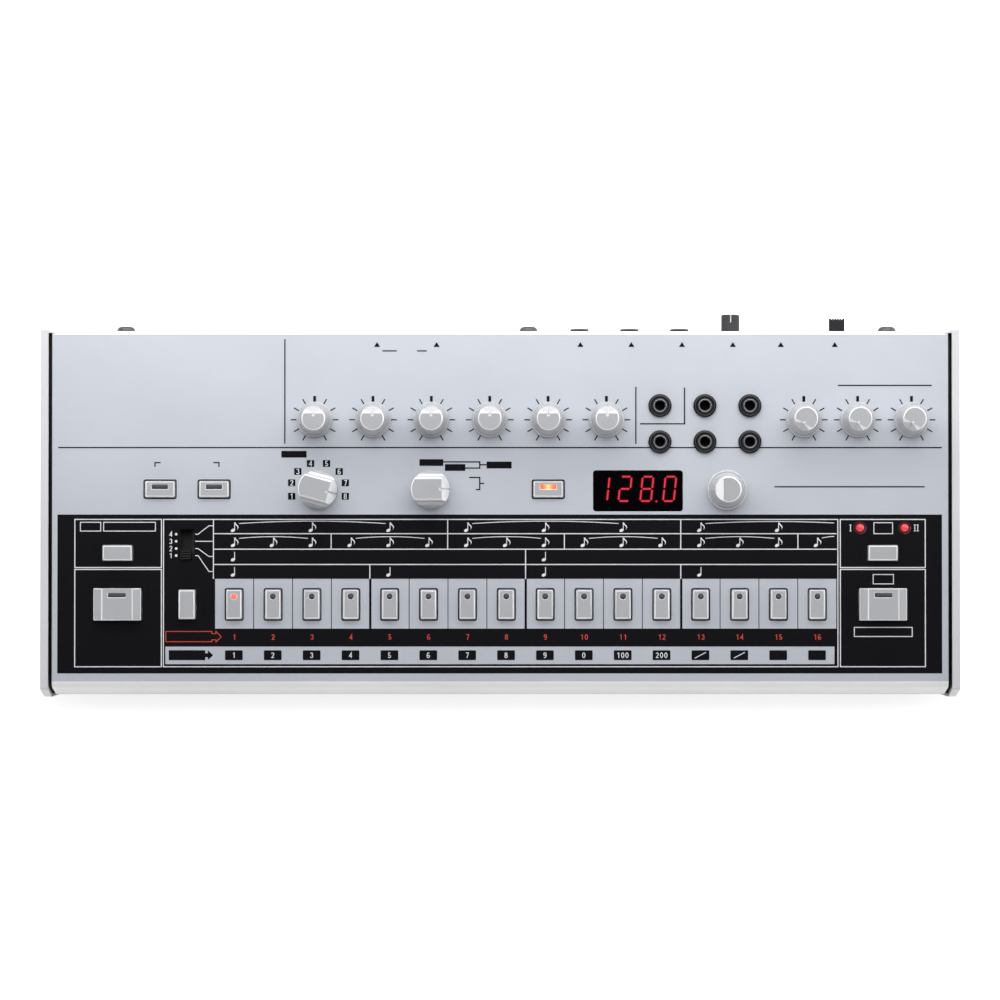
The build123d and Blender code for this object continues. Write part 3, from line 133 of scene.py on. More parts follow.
# %% [markdown]
# ## Floor and light
# The machine stands on a white sweep under soft boxes. A white background could be had by
# flooding the scene with light, but then the pale case would burn out. Instead the floor adds a
# little white of its own, only for rays that come straight from the camera or by way of a glossy
# or clear surface, and the lamps stay at a level where a colour renders as it is written. Four
# long boxes hang behind and over the machine, so the panel falls off gently from the rear edge to
# the front. Low boxes at both ends and in front, with a higher one over the front, light what
# stands upright: the knobs' sides, the end plates and the lip.

# %% Floor
FLOOR_HALF = 3.0
FLOOR_TINTS, FLOOR_CLOUD, FLOOR_ROUGH = (0.78, 0.80), 3, 0.9
FLOOR_GLOW, FLOOR_GLEAM = 0.70, 0.42


def link_nodes(tree, *pairs):
    """Links sockets given as (node, output, node, input)."""
    for source, output, target, socket in pairs:
        tree.links.new(source.outputs[output], target.inputs[socket])


def white_sweep(name, glow, gleam):
    """A pale matt surface that keeps the shadow; glow is its own white, gleam the same in reflections."""
    material = bpy.data.materials.new(name)
    material.use_nodes = True
    tree = material.node_tree
    shader = tree.nodes["Principled BSDF"]
    shader.inputs["Roughness"].default_value = FLOOR_ROUGH
    coords = tree.nodes.new("ShaderNodeTexCoord")
    cloud = tree.nodes.new("ShaderNodeTexNoise")
    cloud.inputs["Scale"].default_value = FLOOR_CLOUD
    ramp = tree.nodes.new("ShaderNodeValToRGB")
    for stop, grey in zip(ramp.color_ramp.elements, FLOOR_TINTS):
        stop.color = (grey, grey, grey, 1)
    rays = tree.nodes.new("ShaderNodeLightPath")
    seen = tree.nodes.new("ShaderNodeMath")
    seen.operation = "MULTIPLY"
    seen.inputs[1].default_value = glow
    gloss = tree.nodes.new("ShaderNodeMath")
    gloss.operation = "MAXIMUM"
    strength = tree.nodes.new("ShaderNodeMath")
    strength.operation = "MULTIPLY_ADD"
    strength.inputs[1].default_value = gleam
    link_nodes(
        tree,
        (coords, "Object", cloud, "Vector"),
        (cloud, "Fac", ramp, "Fac"),
        (ramp, "Color", shader, "Base Color"),
        (rays, "Is Camera Ray", seen, 0),
        (rays, "Is Glossy Ray", gloss, 0),
        (rays, "Is Transmission Ray", gloss, 1),
        (gloss, "Value", strength, 0),
        (seen, "Value", strength, 2),
        (strength, "Value", shader, "Emission Strength"),
    )
    shader.inputs["Emission Color"].default_value = (1, 1, 1, 1)
    return material


floor_mesh = bpy.data.meshes.new("floor")
floor_corners = [(x * FLOOR_HALF, y * FLOOR_HALF, 0) for x, y in ((-1, -1), (1, -1), (1, 1), (-1, 1))]
floor_mesh.from_pydata(floor_corners, [], [(0, 1, 2, 3)])
floor = bpy.data.objects.new("floor", floor_mesh)
bpy.context.scene.collection.objects.link(floor)
floor_mesh.materials.append(white_sweep("white_floor", FLOOR_GLOW, FLOOR_GLEAM))
floor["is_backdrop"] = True
print("floor", FLOOR_HALF * 2, "m across")

# %% Light boxes
LIGHT_AIM = Vector((0, 0, 0.03))


def light_box(name, place, size, watts):
    """A rectangular soft box at a place, turned towards the machine."""
    data = bpy.data.lights.new(name, "AREA")
    data.shape = "RECTANGLE"
    data.size, data.size_y = size
    data.energy = watts
    lamp = bpy.data.objects.new(name, data)
    lamp.location = place
    lamp.rotation_euler = (Vector(place) - LIGHT_AIM).to_track_quat("Z", "Y").to_euler()
    bpy.context.scene.collection.objects.link(lamp)


# name, place in metres, length and width in metres, watts
LIGHT_BOXES = (
    ("rear_box", (0.0, 0.20, 0.26), (1.0, 0.12), 0.7),
    ("top_box", (0.0, 0.10, 0.45), (1.0, 0.25), 1.3),
    ("rear_low", (0.0, 0.50, 0.23), (1.2, 0.10), 1.8),
    ("rear_mid", (0.0, 0.45, 0.45), (1.2, 0.20), 2.3),
    ("left_low", (-0.9, 0.12, 0.15), (0.8, 0.10), 1.8),
    ("right_low", (0.9, 0.12, 0.15), (0.8, 0.10), 3.6),
    ("front_box", (0.0, -1.0, 0.7), (1.6, 0.5), 1.3),
    ("front_low", (0.0, -1.0, 0.15), (1.6, 0.2), 4.5),
)
for box in LIGHT_BOXES:
    light_box(*box)

WORLD_TINT, WORLD_GLOW = (0.94, 0.96, 1.0, 1), 0.05
world = bpy.data.worlds.new("studio")
world.use_nodes = True
world.node_tree.nodes["Background"].inputs["Color"].default_value = WORLD_TINT
world.node_tree.nodes["Background"].inputs["Strength"].default_value = WORLD_GLOW
bpy.context.scene.world = world

# %% [markdown]
# ## Finishes
# Moulded plastic, painted metal and silk-screen ink differ less in colour than in how their
# surface breaks up a reflection. Each finish is therefore one Principled shader whose colour
# drifts slightly between two close tints, whose roughness wanders, and whose bump has the grain
# of the real surface at its real size. One recipe with a few numbers covers them all, and keeps
# the differences readable. The rear plate is sprayed, and a little greyer than the mouldings.

# %% The finish recipe
CLOUD_SCALE = 25
CLOUD_DETAIL, GRAIN_DETAIL = 6, 3
RELIEF_SHARE = 0.5
ROUGH_SWING = 0.12
TINT_STOPS = (0.3, 0.7)
COAT_ROUGH = 0.15


def tint(colour, gain):
    """The same colour, a little lighter or darker."""
    return tuple(min(1.0, max(0.0, channel * gain)) for channel in colour) + (1,)


def finish(name, colour, rough, grain_mm=0.4, bump=0.03, drift=0.03, metallic=0.0, coat=0.0, shine=0.5,
           stretch=(1, 1, 1)):
    """A procedural finish with drifting tint, uneven roughness and a fine grain."""
    material = bpy.data.materials.new(name)
    material.use_nodes = True
    tree = material.node_tree
    shader = tree.nodes["Principled BSDF"]
    shader.inputs["Metallic"].default_value = metallic
    shader.inputs["Coat Weight"].default_value = coat
    shader.inputs["Coat Roughness"].default_value = COAT_ROUGH
    shader.inputs["Specular IOR Level"].default_value = shine
    coords = tree.nodes.new("ShaderNodeTexCoord")
    scale = tree.nodes.new("ShaderNodeMapping")
    scale.inputs["Scale"].default_value = stretch
    cloud = tree.nodes.new("ShaderNodeTexNoise")
    cloud.inputs["Scale"].default_value = CLOUD_SCALE
    cloud.inputs["Detail"].default_value = CLOUD_DETAIL
    grain = tree.nodes.new("ShaderNodeTexNoise")
    grain.inputs["Scale"].default_value = 1 / (grain_mm * MM)
    grain.inputs["Detail"].default_value = GRAIN_DETAIL
    shades = tree.nodes.new("ShaderNodeValToRGB")
    for stop, position, gain in zip(shades.color_ramp.elements, TINT_STOPS, (1 - drift, 1 + drift)):
        stop.position = position
        stop.color = tint(colour, gain)
    gloss = tree.nodes.new("ShaderNodeMapRange")
    gloss.inputs["To Min"].default_value = rough * (1 - ROUGH_SWING)
    gloss.inputs["To Max"].default_value = rough * (1 + ROUGH_SWING)
    relief = tree.nodes.new("ShaderNodeBump")
    relief.inputs["Strength"].default_value = bump
    relief.inputs["Distance"].default_value = grain_mm * MM * RELIEF_SHARE
    link_nodes(
        tree,
        (coords, "Object", scale, "Vector"),
        (coords, "Object", cloud, "Vector"),
        (scale, "Vector", grain, "Vector"),
        (cloud, "Fac", shades, "Fac"),
        (shades, "Color", shader, "Base Color"),
        (grain, "Fac", gloss, "Value"),
        (gloss, "Result", shader, "Roughness"),
        (grain, "Fac", relief, "Height"),
        (relief, "Normal", shader, "Normal"),
    )
    return material


FINISHES = {
    "silver_panel": finish("silver_paint", (0.575, 0.605, 0.665), 0.40, grain_mm=0.12, bump=0.05,
                           metallic=0.25),
    "white_case": finish("white_moulding", (0.90, 0.90, 0.885), 0.42, grain_mm=0.25),
    "white_cheek": finish("white_end_plate", (0.65, 0.65, 0.67), 0.35, grain_mm=0.25),
    "grey_bottom": finish("grey_moulding", (0.33, 0.34, 0.35), 0.6, grain_mm=0.5, bump=0.2),
    "rear_white": finish("rear_coat", (0.42, 0.42, 0.435), 0.45, grain_mm=0.3, bump=0.02),
    "foot_rubber": finish("foot_rubber", (0.03, 0.03, 0.03), 0.85, grain_mm=0.3, bump=0.3),
    "screw_steel": finish("nickel_screw", (0.09, 0.09, 0.093), 0.28, grain_mm=0.1, metallic=0.9,
                          stretch=(1, 1, 6)),
    "smoked_window": finish("smoked_acrylic", (0.0015, 0.001, 0.002), 0.12, grain_mm=2.0, bump=0.01,
                            shine=0.08),
    "module_black": finish("display_body", (0.02, 0.015, 0.015), 0.5),
    "red_led": finish("red_lamp", (0.55, 0.02, 0.03), 0.12, bump=0.0),
    "jack_black": finish("jack_moulding", (0.008, 0.008, 0.010), 0.5, grain_mm=0.2, bump=0.0),
    "nut_black": finish("black_ring_nut", (0.006, 0.006, 0.008), 0.27, grain_mm=0.1, bump=0.0, shine=0.22),
    "socket_black": finish("socket_moulding", (0.02, 0.02, 0.022), 0.4),
    "usb_steel": finish("plated_shell", (0.6, 0.6, 0.6), 0.25, grain_mm=0.1, metallic=1.0),
    "board_green": finish("solder_mask", (0.02, 0.16, 0.05), 0.3, grain_mm=1.5, drift=0.15, coat=0.4),
    "pot_body": finish("pot_body", (0.08, 0.08, 0.085), 0.5),
    "switch_black": finish("switch_body", (0.03, 0.03, 0.03), 0.5),
    "cell_wrap": finish("cell_wrap", (0.15, 0.16, 0.18), 0.35, drift=0.1),
    "knob_grey": finish("knob_plastic", (0.415, 0.42, 0.435), 0.30, grain_mm=0.2),
    "button_grey": finish("cap_plastic", (0.425, 0.43, 0.45), 0.36, grain_mm=0.2),
    "slide_black": finish("black_tab", (0.014, 0.014, 0.016), 0.55, shine=0.2),
    "black_ink": finish("black_ink", (0.0052, 0.0052, 0.0072), 0.5, grain_mm=0.1, shine=0.08),
    "white_ink": finish("white_ink", (0.78, 0.78, 0.80), 0.45, grain_mm=0.1, shine=0.2),
    "red_ink": finish("red_ink", (0.62, 0.07, 0.045), 0.45, grain_mm=0.1, shine=0.2),
}
for node, thing in nodes.items():
    thing.data.materials.clear()
    thing.data.materials.append(FINISHES[slots[node]])
RIBBED_KNOB = finish("ribbed_knob", (0.055, 0.055, 0.058), 0.6, shine=0.2)
nodes["volume_knob"].data.materials[0] = RIBBED_KNOB
print(len(FINISHES), "finishes on", len(nodes), "nodes")

# %% [markdown]
# The walls of the panel's cut-outs are painted dark: painted shade for the deep, narrow gaps round the
# caps and knobs. One colour mix does this for all of them at once: what faces out of the panel
# keeps the paint, and what faces sideways gets the painted shade.

# %% Painted shade on the walls of the cut-outs
CUT_WALL_SHADE = (0.012, 0.012, 0.014, 1)
punched = FINISHES["silver_panel"].copy()
punched.name = "silver_sheet_painted_cut_shade"
tree = punched.node_tree
paint = tree.nodes["Principled BSDF"].inputs["Base Color"]
surface = tree.nodes.new("ShaderNodeNewGeometry")
outward = tree.nodes.new("ShaderNodeVectorMath")
outward.operation = "DOT_PRODUCT"
outward.inputs[1].default_value = normal
choice = tree.nodes.new("ShaderNodeMix")
choice.data_type = "RGBA"
choice.inputs["A"].default_value = CUT_WALL_SHADE
tree.links.new(paint.links[0].from_socket, choice.inputs["B"])
link_nodes(
    tree,
    (surface, "True Normal", outward, 0),
    (outward, "Value", choice, "Factor"),
    (choice, "Result", tree.nodes["Principled BSDF"], "Base Color"),
)
nodes["top_panel"].data.materials[0] = punched
print("cut-outs darkened")

# %% [markdown]
# ## Lamps
# A lit lens is brightest where one looks straight into it and deepens towards its rim. The
# emission colour is therefore mixed by how far the surface faces away. A long light bar lit by
# one small chip is brightest in its middle instead, so there the colour runs along the bar.

# %% Glowing finishes
LENS_ROUGH, BAR_ROUGH = 0.12, 0.2
RIM_BLEND = 0.35


def glowing(name, body, heart, rim, strength):
    """A clear coloured lens with light behind it, paler in the middle."""
    material = finish(name, body, LENS_ROUGH, bump=0.0)
    tree = material.node_tree
    shader = tree.nodes["Principled BSDF"]
    facing = tree.nodes.new("ShaderNodeLayerWeight")
    facing.inputs["Blend"].default_value = RIM_BLEND
    mix = tree.nodes.new("ShaderNodeMix")
    mix.data_type = "RGBA"
    mix.inputs["A"].default_value = heart + (1,)
    mix.inputs["B"].default_value = rim + (1,)
    link_nodes(
        tree,
        (facing, "Facing", mix, "Factor"),
        (mix, "Result", shader, "Emission Color"),
    )
    shader.inputs["Emission Strength"].default_value = strength
    return material


def glowing_bar(name, colours, strength):
    """A light bar whose colour runs from end to end."""
    material = finish(name, colours[0], BAR_ROUGH, bump=0.0)
    tree = material.node_tree
    shader = tree.nodes["Principled BSDF"]
    place = tree.nodes.new("ShaderNodeTexCoord")
    split = tree.nodes.new("ShaderNodeSeparateXYZ")
    ramp = tree.nodes.new("ShaderNodeValToRGB")
    ramp.color_ramp.elements[0].color = colours[0] + (1,)
    ramp.color_ramp.elements[1].color = colours[-1] + (1,)
    for i, colour in enumerate(colours[1:-1], start=1):
        stop = ramp.color_ramp.elements.new(i / (len(colours) - 1))
        stop.color = colour + (1,)
    link_nodes(
        tree,
        (place, "Generated", split, "Vector"),
        (split, "X", ramp, "Fac"),
        (ramp, "Color", shader, "Emission Color"),
    )
    shader.inputs["Emission Strength"].default_value = strength
    return material


LAMP_LIT = glowing("lamp_lit", (0.4, 0.015, 0.02), (0.72, 0.085, 0.11), (0.12, 0.0, 0.005), 0.66)
STEP_LIT = glowing("step_lens_lit", (0.6, 0.1, 0.08), (0.9, 0.16, 0.13), (0.7, 0.10, 0.08), 0.7)
SEGMENT_LIT = glowing("segment_lit", (0.2, 0.01, 0.02), (0.60, 0.040, 0.055), (0.3, 0.005, 0.01), 1.0)
SEGMENT_HALO = glowing("segment_halo", (0.03, 0.0, 0.0), (0.035, 0.0005, 0.003), (0.025, 0.0, 0.0), 1.0)
TEMPO_RED, TEMPO_ORANGE, TEMPO_YELLOW = (0.8, 0.07, 0.03), (1.0, 0.3, 0.05), (1.0, 0.85, 0.3)
TEMPO_RUN = (TEMPO_RED, TEMPO_ORANGE, TEMPO_YELLOW, TEMPO_ORANGE, TEMPO_RED)
TEMPO_LIT = glowing_bar("tempo_bar_lit", TEMPO_RUN, 0.9)
LENS_DARK = finish("lens_unlit", (0.075, 0.077, 0.085), 0.75, bump=0.0, shine=0.1)
# Near black for what lies below the panel round a cap: painted shade in the gap.
CAP_GAP_SHADE = finish("cap_foot_painted_shade", (0.02, 0.02, 0.022), 0.7, bump=0.0)
# Near black inside the end-plate gutters: painted shade.
GUTTER_SHADE = finish("gutter_painted_shade", (0.012, 0.012, 0.014), 0.3, bump=0.0)
# A middle grey for a knob's slanted setting face: a milder painted highlight.
FACE_HIGHLIGHT = finish("painted_face_highlight", (0.52, 0.52, 0.535), 0.22, grain_mm=0.2, bump=0.0)
# Much paler than the plastic: a painted highlight on rounded edges and on the bright faces of knobs.
EDGE_HIGHLIGHT = finish("painted_edge_highlight", (0.86, 0.86, 0.87), 0.25, grain_mm=0.2, bump=0.0)
print("lamps ready")

# %% [markdown]
# ## Soft edges
# No moulded cap has a knife edge. The radius is only a few tenths of a millimetre, but it catches
# the light all round a cap, and that bright line is what makes a small grey box read as a button.
# The construction leaves these edges sharp, so each cap and knob gets a softened copy: its mesh
# is cleaned, taken apart into its closed pieces, and given a bevel whose faces have a material of
# their own, much paler and glossier: a painted highlight along the rounded edges. The depth and the
# slant of a face tell what it is, so the same painted highlight also goes on the bright parts of the
# knobs: the ring round the top, the ledges and the end of a selector. The slanted setting face gets
# a middle grey, a milder painted highlight.

# %% Loose parts of a node
WELD = 0.001 * MM
EVERY_HEIGHT = -1000.0


def loose_parts(node):
    """The closed pieces of a node's mesh, the one with the largest box first."""
    whole = bmesh.new()
    whole.from_mesh(nodes[node].data)
    bmesh.ops.remove_doubles(whole, verts=whole.verts, dist=WELD)
    parts = []
    for start in whole.verts:
        if start.tag:
            continue
        start.tag = True
        group, reach = set(), [start]
        while reach:
            vert = reach.pop()
            group.add(vert)
            for edge in vert.link_edges:
                other = edge.other_vert(vert)
                if not other.tag:
                    other.tag = True
                    reach.append(other)
        part = bmesh.new()
        twin = {vert: part.verts.new(vert.co) for vert in sorted(group, key=lambda v: v.index)}
        for face in whole.faces:
            if face.verts[0] in group:
                part.faces.new([twin[vert] for vert in face.verts])
        part.normal_update()
        parts.append(part)
    whole.free()
    return sorted(parts, key=lambda part: -box_volume(part))


def box_volume(part):
    """Volume of the box round a piece, in panel directions."""
    low, high = panel_box(part)
    return (high.x - low.x) * (high.y - low.y) * (high.z - low.z)


def panel_box(part, above=EVERY_HEIGHT):
    """Lowest and highest corner of a piece in panel millimetres, of what lies over a height."""
    points = [panel.inverted() @ vert.co / MM for vert in part.verts]
    points = [point for point in points if point.z > above]
    low = Vector([min(point[i] for point in points) for i in range(3)])
    high = Vector([max(point[i] for point in points) for i in range(3)])
    return low, high


print("a step button has", len(loose_parts("step_button_01")), "closed pieces")

# %% A softened piece
FLAT_TURN = math.radians(0.6)
EDGE_TURN = math.radians(28)
RIDGE_TURN = math.radians(15)
RIDGE_L = 5.0
LEVEL_RUN = 0.3
BEVEL_STEPS = 2


def placed(name, mesh, materials, body, node=None):
    """Puts a mesh into the scene as a piece that rides on a body."""
    piece = bpy.data.objects.new(name, mesh)
    bpy.context.scene.collection.objects.link(piece)
    for material in materials:
        mesh.materials.append(material)
    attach(piece, body)
    if node:
        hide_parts(node)
    return piece


def mark_edges(part):
    """Marks the edges that a mould would round with a bevel weight: sharp ones, and flat-lying ridges."""
    weight = part.edges.layers.float.new("bevel_weight_edge")
    for edge in part.edges:
        if len(edge.link_faces) != 2:
            continue
        turn = edge.calc_face_angle(0)
        run = (edge.verts[1].co - edge.verts[0].co).normalized()
        is_long_and_level = edge.calc_length() > RIDGE_L * MM and abs(run.dot(normal)) < LEVEL_RUN
        edge[weight] = float(turn > EDGE_TURN or turn > RIDGE_TURN and is_long_and_level)


def cut_across(part, *planes):
    """Cuts the faces of a piece along planes, each a place and a direction, and keeps both sides."""
    for place, way in planes:
        everything = part.verts[:] + part.edges[:] + part.faces[:]
        bmesh.ops.bisect_plane(part, geom=everything, plane_co=place, plane_no=way)
    part.normal_update()


def softened(name, part, node, materials, round_mm, choose=None, clamp=True):
    """A piece with its flat faces joined and its edges rounded in the last material.

    choose tells the number of a face's material from its middle and direction on the panel. Small
    arcs at the corners would clamp the rounding of a whole cap, so caps go without a clamp.
    """
    to_panel = panel.inverted()
    for face in part.faces:
        face.smooth = True
        if choose:
            spot, way = to_panel @ face.calc_center_median() / MM, to_panel.to_3x3() @ face.normal
            face.material_index = choose(spot, way)
    bmesh.ops.dissolve_limit(part, angle_limit=FLAT_TURN, verts=part.verts, edges=part.edges,
                             delimit={"MATERIAL"})
    bmesh.ops.recalc_face_normals(part, faces=part.faces)
    mark_edges(part)
    mesh = bpy.data.meshes.new(name)
    part.to_mesh(mesh)
    part.free()
    piece = placed(name, mesh, materials, body_of_node[node], node)
    if round_mm:
        bevel = piece.modifiers.new("round_edges", "BEVEL")
        bevel.width = round_mm * MM
        bevel.segments = BEVEL_STEPS
        bevel.limit_method = "WEIGHT"
        bevel.use_clamp_overlap = clamp
        bevel.harden_normals = True
        bevel.material = len(materials) - 1


print("edges that turn over", round(math.degrees(EDGE_TURN)), "degrees are rounded")

# %% Painted highlights on a knob, told by depth and slant
TOP_SKIN, TOP_RING = 0.02, 0.6
WIDE_HIGHLIGHT_RINGS = {"value_knob": 1.6}
FACE_REACH, FACE_SLANT = 3.0, (0.75, 0.97)
END_REACH, END_SLANT = 7.0, (0.25, 0.45)
LEDGE_DEPTH, LEDGE_SLANT = (6.5, 7.6), 0.9
PLAIN, LIT_FACE, HIGHLIT = 0, 1, 2


def knob_finish(depth, slant, highlight_ring_reach):
    """Number of a face's material, plain or painted highlight, from its depth below the top and how far it faces
    outward.
    """
    is_ring = TOP_SKIN < depth < highlight_ring_reach
    is_end = depth < END_REACH and END_SLANT[0] < slant < END_SLANT[1]
    is_ledge = LEDGE_DEPTH[0] < depth < LEDGE_DEPTH[1] and slant > LEDGE_SLANT
    if is_ring or is_end or is_ledge:
        return HIGHLIT
    return LIT_FACE if depth < FACE_REACH and FACE_SLANT[0] < slant < FACE_SLANT[1] else PLAIN


print("faces reach", FACE_REACH, "mm, ends", END_REACH, "mm below the top")

# %% Caps, stems and lenses
CAP_GAP = 0.55
GAP_DEPTH = -0.3
KNOB_ROUND, CAP_ROUND = 0.12, 0.25
KNOBS = [f"level_knob_{i + 1}" for i in range(LEVEL_COUNT)]
KNOBS += ["drive_knob", "delay_time_knob", "delay_depth_knob", "value_knob", "instrument_selector",
          "mode_selector"]
BUTTONS = [node for node in nodes if node.endswith("_button") or node.startswith("step_button_")]
LIT_LENSES = {"step_button_01": STEP_LIT, "tempo_button": TEMPO_LIT}
cut_outs = {}
for node in KNOBS + BUTTONS:
    cap, *rest = loose_parts(node)
    low, high = panel_box(cap, above=0.0)
    cut_outs[node] = (low.x - CAP_GAP, low.y - CAP_GAP, high.x + CAP_GAP, high.y + CAP_GAP)
    if node in KNOBS:
        highlight_ring_reach = WIDE_HIGHLIGHT_RINGS.get(node, TOP_RING)
        # The top ring, the ledges, a selector's end and the rounded edges take the painted highlight.
        softened(f"{node}_cap", cap, node, [FINISHES[slots[node]], FACE_HIGHLIGHT, EDGE_HIGHLIGHT], KNOB_ROUND,
                 lambda spot, way: knob_finish(high.z - spot.z, way.z, highlight_ring_reach))
    else:
        # Below the panel's surface a cap's faces take the painted shade of the gap round it.
        cut_across(cap, (on_panel(0, 0, GAP_DEPTH), normal))
        softened(f"{node}_cap", cap, node, [FINISHES[slots[node]], CAP_GAP_SHADE, EDGE_HIGHLIGHT], CAP_ROUND,
                 lambda spot, _way: int(spot.z < GAP_DEPTH), clamp=False)
    for part in rest:
        is_lens = panel_box(part)[1].z > 0 and node in BUTTONS
        name = f"{node}_lens" if is_lens else f"{node}_stem"
        # The stems take the dark pot-body finish, as painted shade in the gaps under the caps.
        material = LIT_LENSES.get(node, LENS_DARK) if is_lens else FINISHES["pot_body"]
        softened(name, part, node, [material], 0)
print(len(KNOBS), "knobs and", len(BUTTONS), "buttons softened")

# %% Case, slides and window
SOFT_PLAIN = {"upper_case": 0.3, "rear_panel": 0.2, "lower_case": 0.3, "battery_door": 0.2,
              "scale_slide": 0.15, "power_slide": 0.15, "display_window": 0.2}
for node, round_mm in SOFT_PLAIN.items():
    (part,) = loose_parts(node)
    softened(f"{node}_soft", part, node, [FINISHES[slots[node]]], round_mm)
print(len(SOFT_PLAIN), "plain pieces softened")

# %% [markdown]
# ## End plates
# Between each white end plate and the case runs a narrow, deep gutter, along the panel and down
# the front. Its floor and walls are one moulding with the plate, so the mesh is cut along the
# gutter's own planes, and the faces that lie inside are painted near black, as painted shade. The
# cut just below the surface leaves a white lip all along.

# %% End plates with a gutter of painted shade
PANEL_END, GUTTER_W, GUTTER_D, GUTTER_LIP = 170.85, 1.4, 6.0, 0.25
GUTTER_START, GUTTER_FOOT = -69.5, 8.5
SLACK = 0.01
PLATE_ROUND = 0.35
front_y, front_foot_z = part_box("upper_case")[0][1], GUTTER_FOOT * MM
front_lip_y, front_back_y = front_y + GUTTER_LIP * MM, front_y + GUTTER_D * MM


def in_gutter(spot, _way):
    """Whether a face's middle, in panel millimetres, lies inside a gutter; its direction plays no part."""
    if not PANEL_END - SLACK < abs(spot.x) < PANEL_END + GUTTER_W + SLACK or spot.z >= -GUTTER_LIP:
        return 0
    place = panel @ (spot * MM)
    along_panel = spot.z > -GUTTER_D - SLACK and spot.y > GUTTER_START and place.y > front_lip_y
    slack = SLACK * MM
    down_front = front_lip_y < place.y < front_back_y + slack and place.z > front_foot_z - slack
    return int(along_panel or down_front)


backward, upward = Vector((0, 1, 0)), Vector((0, 0, 1))
for node in ("left_cheek", "right_cheek"):
    (part,) = loose_parts(node)
    cut_across(part, (on_panel(0, 0, -GUTTER_LIP), normal), (on_panel(0, 0, -GUTTER_D), normal),
               (Vector((0, front_lip_y, 0)), backward), (Vector((0, front_back_y, 0)), backward),
               (Vector((0, 0, front_foot_z)), upward))
    white = FINISHES[slots[node]]
    softened(f"{node}_soft", part, node, [white, GUTTER_SHADE, white], PLATE_ROUND, in_gutter)
print("end plates softened")

# %% [markdown]
# ## Trigger sockets
# A small socket is read by its rings: the mouth of the barrel is a bead of bare metal, and on the
# black ring nut round it runs a low ridge, made a lighter grey than the nut as a painted highlight.
# The nuts are turned again here from a finer profile, given as radius and height, and bead and
# ridge are turned the same way.

# %% Ring nuts and mouths
NUT_PROFILE = ((3.05, 0.0), (3.05, 1.2), (3.25, 1.42), (3.5, 1.42), (3.85, 1.3), (4.2, 1.2), (4.36, 1.05),
               (4.42, 0.8), (4.42, 0.0))
MOUTH_PROFILE = ((2.08, 1.4), (2.08, 1.56), (2.2, 1.7), (2.35, 1.7), (2.5, 1.62), (2.5, 1.4))
RIDGE_PROFILE = ((3.6, 1.2), (3.6, 1.42), (3.68, 1.47), (3.8, 1.45), (3.86, 1.36), (3.86, 1.2))
TURN_STEPS = 48
JACK_ROUND = 0.1
MOUTH_STEEL = finish("socket_mouth", (0.26, 0.26, 0.27), 0.36, grain_mm=0.2, bump=0.0, metallic=0.9)
# Much lighter than the nut: a painted highlight on the ridge.
NUT_RIDGE_HIGHLIGHT = finish("nut_ridge", (0.05, 0.05, 0.055), 0.25, grain_mm=0.2, bump=0.0)


def sew(sheet, loops):
    """Joins each loop of corners to the next, and the last one to the first."""
    for here, there in zip(loops, loops[1:] + loops[:1]):
        for i, corner in enumerate(here):
            j = (i + 1) % len(here)
            sheet.faces.new((corner, here[j], there[j], there[i]))


def turned(sheet, centre, profile):
    """A ring turned round the panel's normal from a closed profile of (radius, height)."""
    loops = []
    for i in range(TURN_STEPS):
        angle = 2 * math.pi * i / TURN_STEPS
        x, y = math.cos(angle), math.sin(angle)
        loops.append([sheet.verts.new(on_panel(centre.x + r * x, centre.y + r * y, n)) for r, n in profile])
    sew(sheet, loops)


def turned_piece(name, sheet, material, node=None):
    """Makes a piece of turned rings."""
    bmesh.ops.remove_doubles(sheet, verts=sheet.verts, dist=WELD)
    bmesh.ops.recalc_face_normals(sheet, faces=sheet.faces)
    for face in sheet.faces:
        face.smooth = True
    mesh = bpy.data.meshes.new(name)
    sheet.to_mesh(mesh)
    sheet.free()
    placed(name, mesh, [material], "case", node)


nuts, mouths, ridges = bmesh.new(), bmesh.new(), bmesh.new()
for i, jack in enumerate(loose_parts("mini_jacks")):
    if panel_box(jack)[1].z > 0:
        low, high = panel_box(jack, above=0.0)
        middle = (low + high) / 2
        for rings, profile in ((nuts, NUT_PROFILE), (mouths, MOUTH_PROFILE), (ridges, RIDGE_PROFILE)):
            turned(rings, middle, profile)
        softened(f"trigger_jack_{i}", jack, "mini_jacks", [FINISHES["jack_black"]], JACK_ROUND)
    else:
        # The rear sockets' rounded edges take the bare-steel finish, a painted highlight along them.
        softened(f"rear_jack_{i}", jack, "mini_jacks", [FINISHES["jack_black"], MOUTH_STEEL], JACK_ROUND)
turned_piece("ring_nuts", nuts, FINISHES["nut_black"], "jack_nuts")
turned_piece("nut_ridges", ridges, NUT_RIDGE_HIGHLIGHT)
turned_piece("socket_mouths", mouths, MOUTH_STEEL)
print("sockets dressed")

# %% [markdown]
# ## Silk-screen print
# The panel's markings are ink of about two hundredths of a millimetre, pressed through a screen
# in one colour after another. As geometry each ink is one thin mesh: plates for filled shapes,
# mitred strokes for lines, rings for frames. An image laid over the panel would be quicker, but
# it blurs up close. Layers lie on each other as they do in the print shop, first the black field,
# then the silver windows and white lines, then black again, and the white figures last.

# %% Ink strokes and plates
INK, KEY_IN = 0.02, 0.01
CORNER_STEPS = 3


def layer_span(layer):
    """Foot and top of an ink layer over the panel; it keys a little into what lies under it."""
    return layer * INK - KEY_IN, (layer + 1) * INK


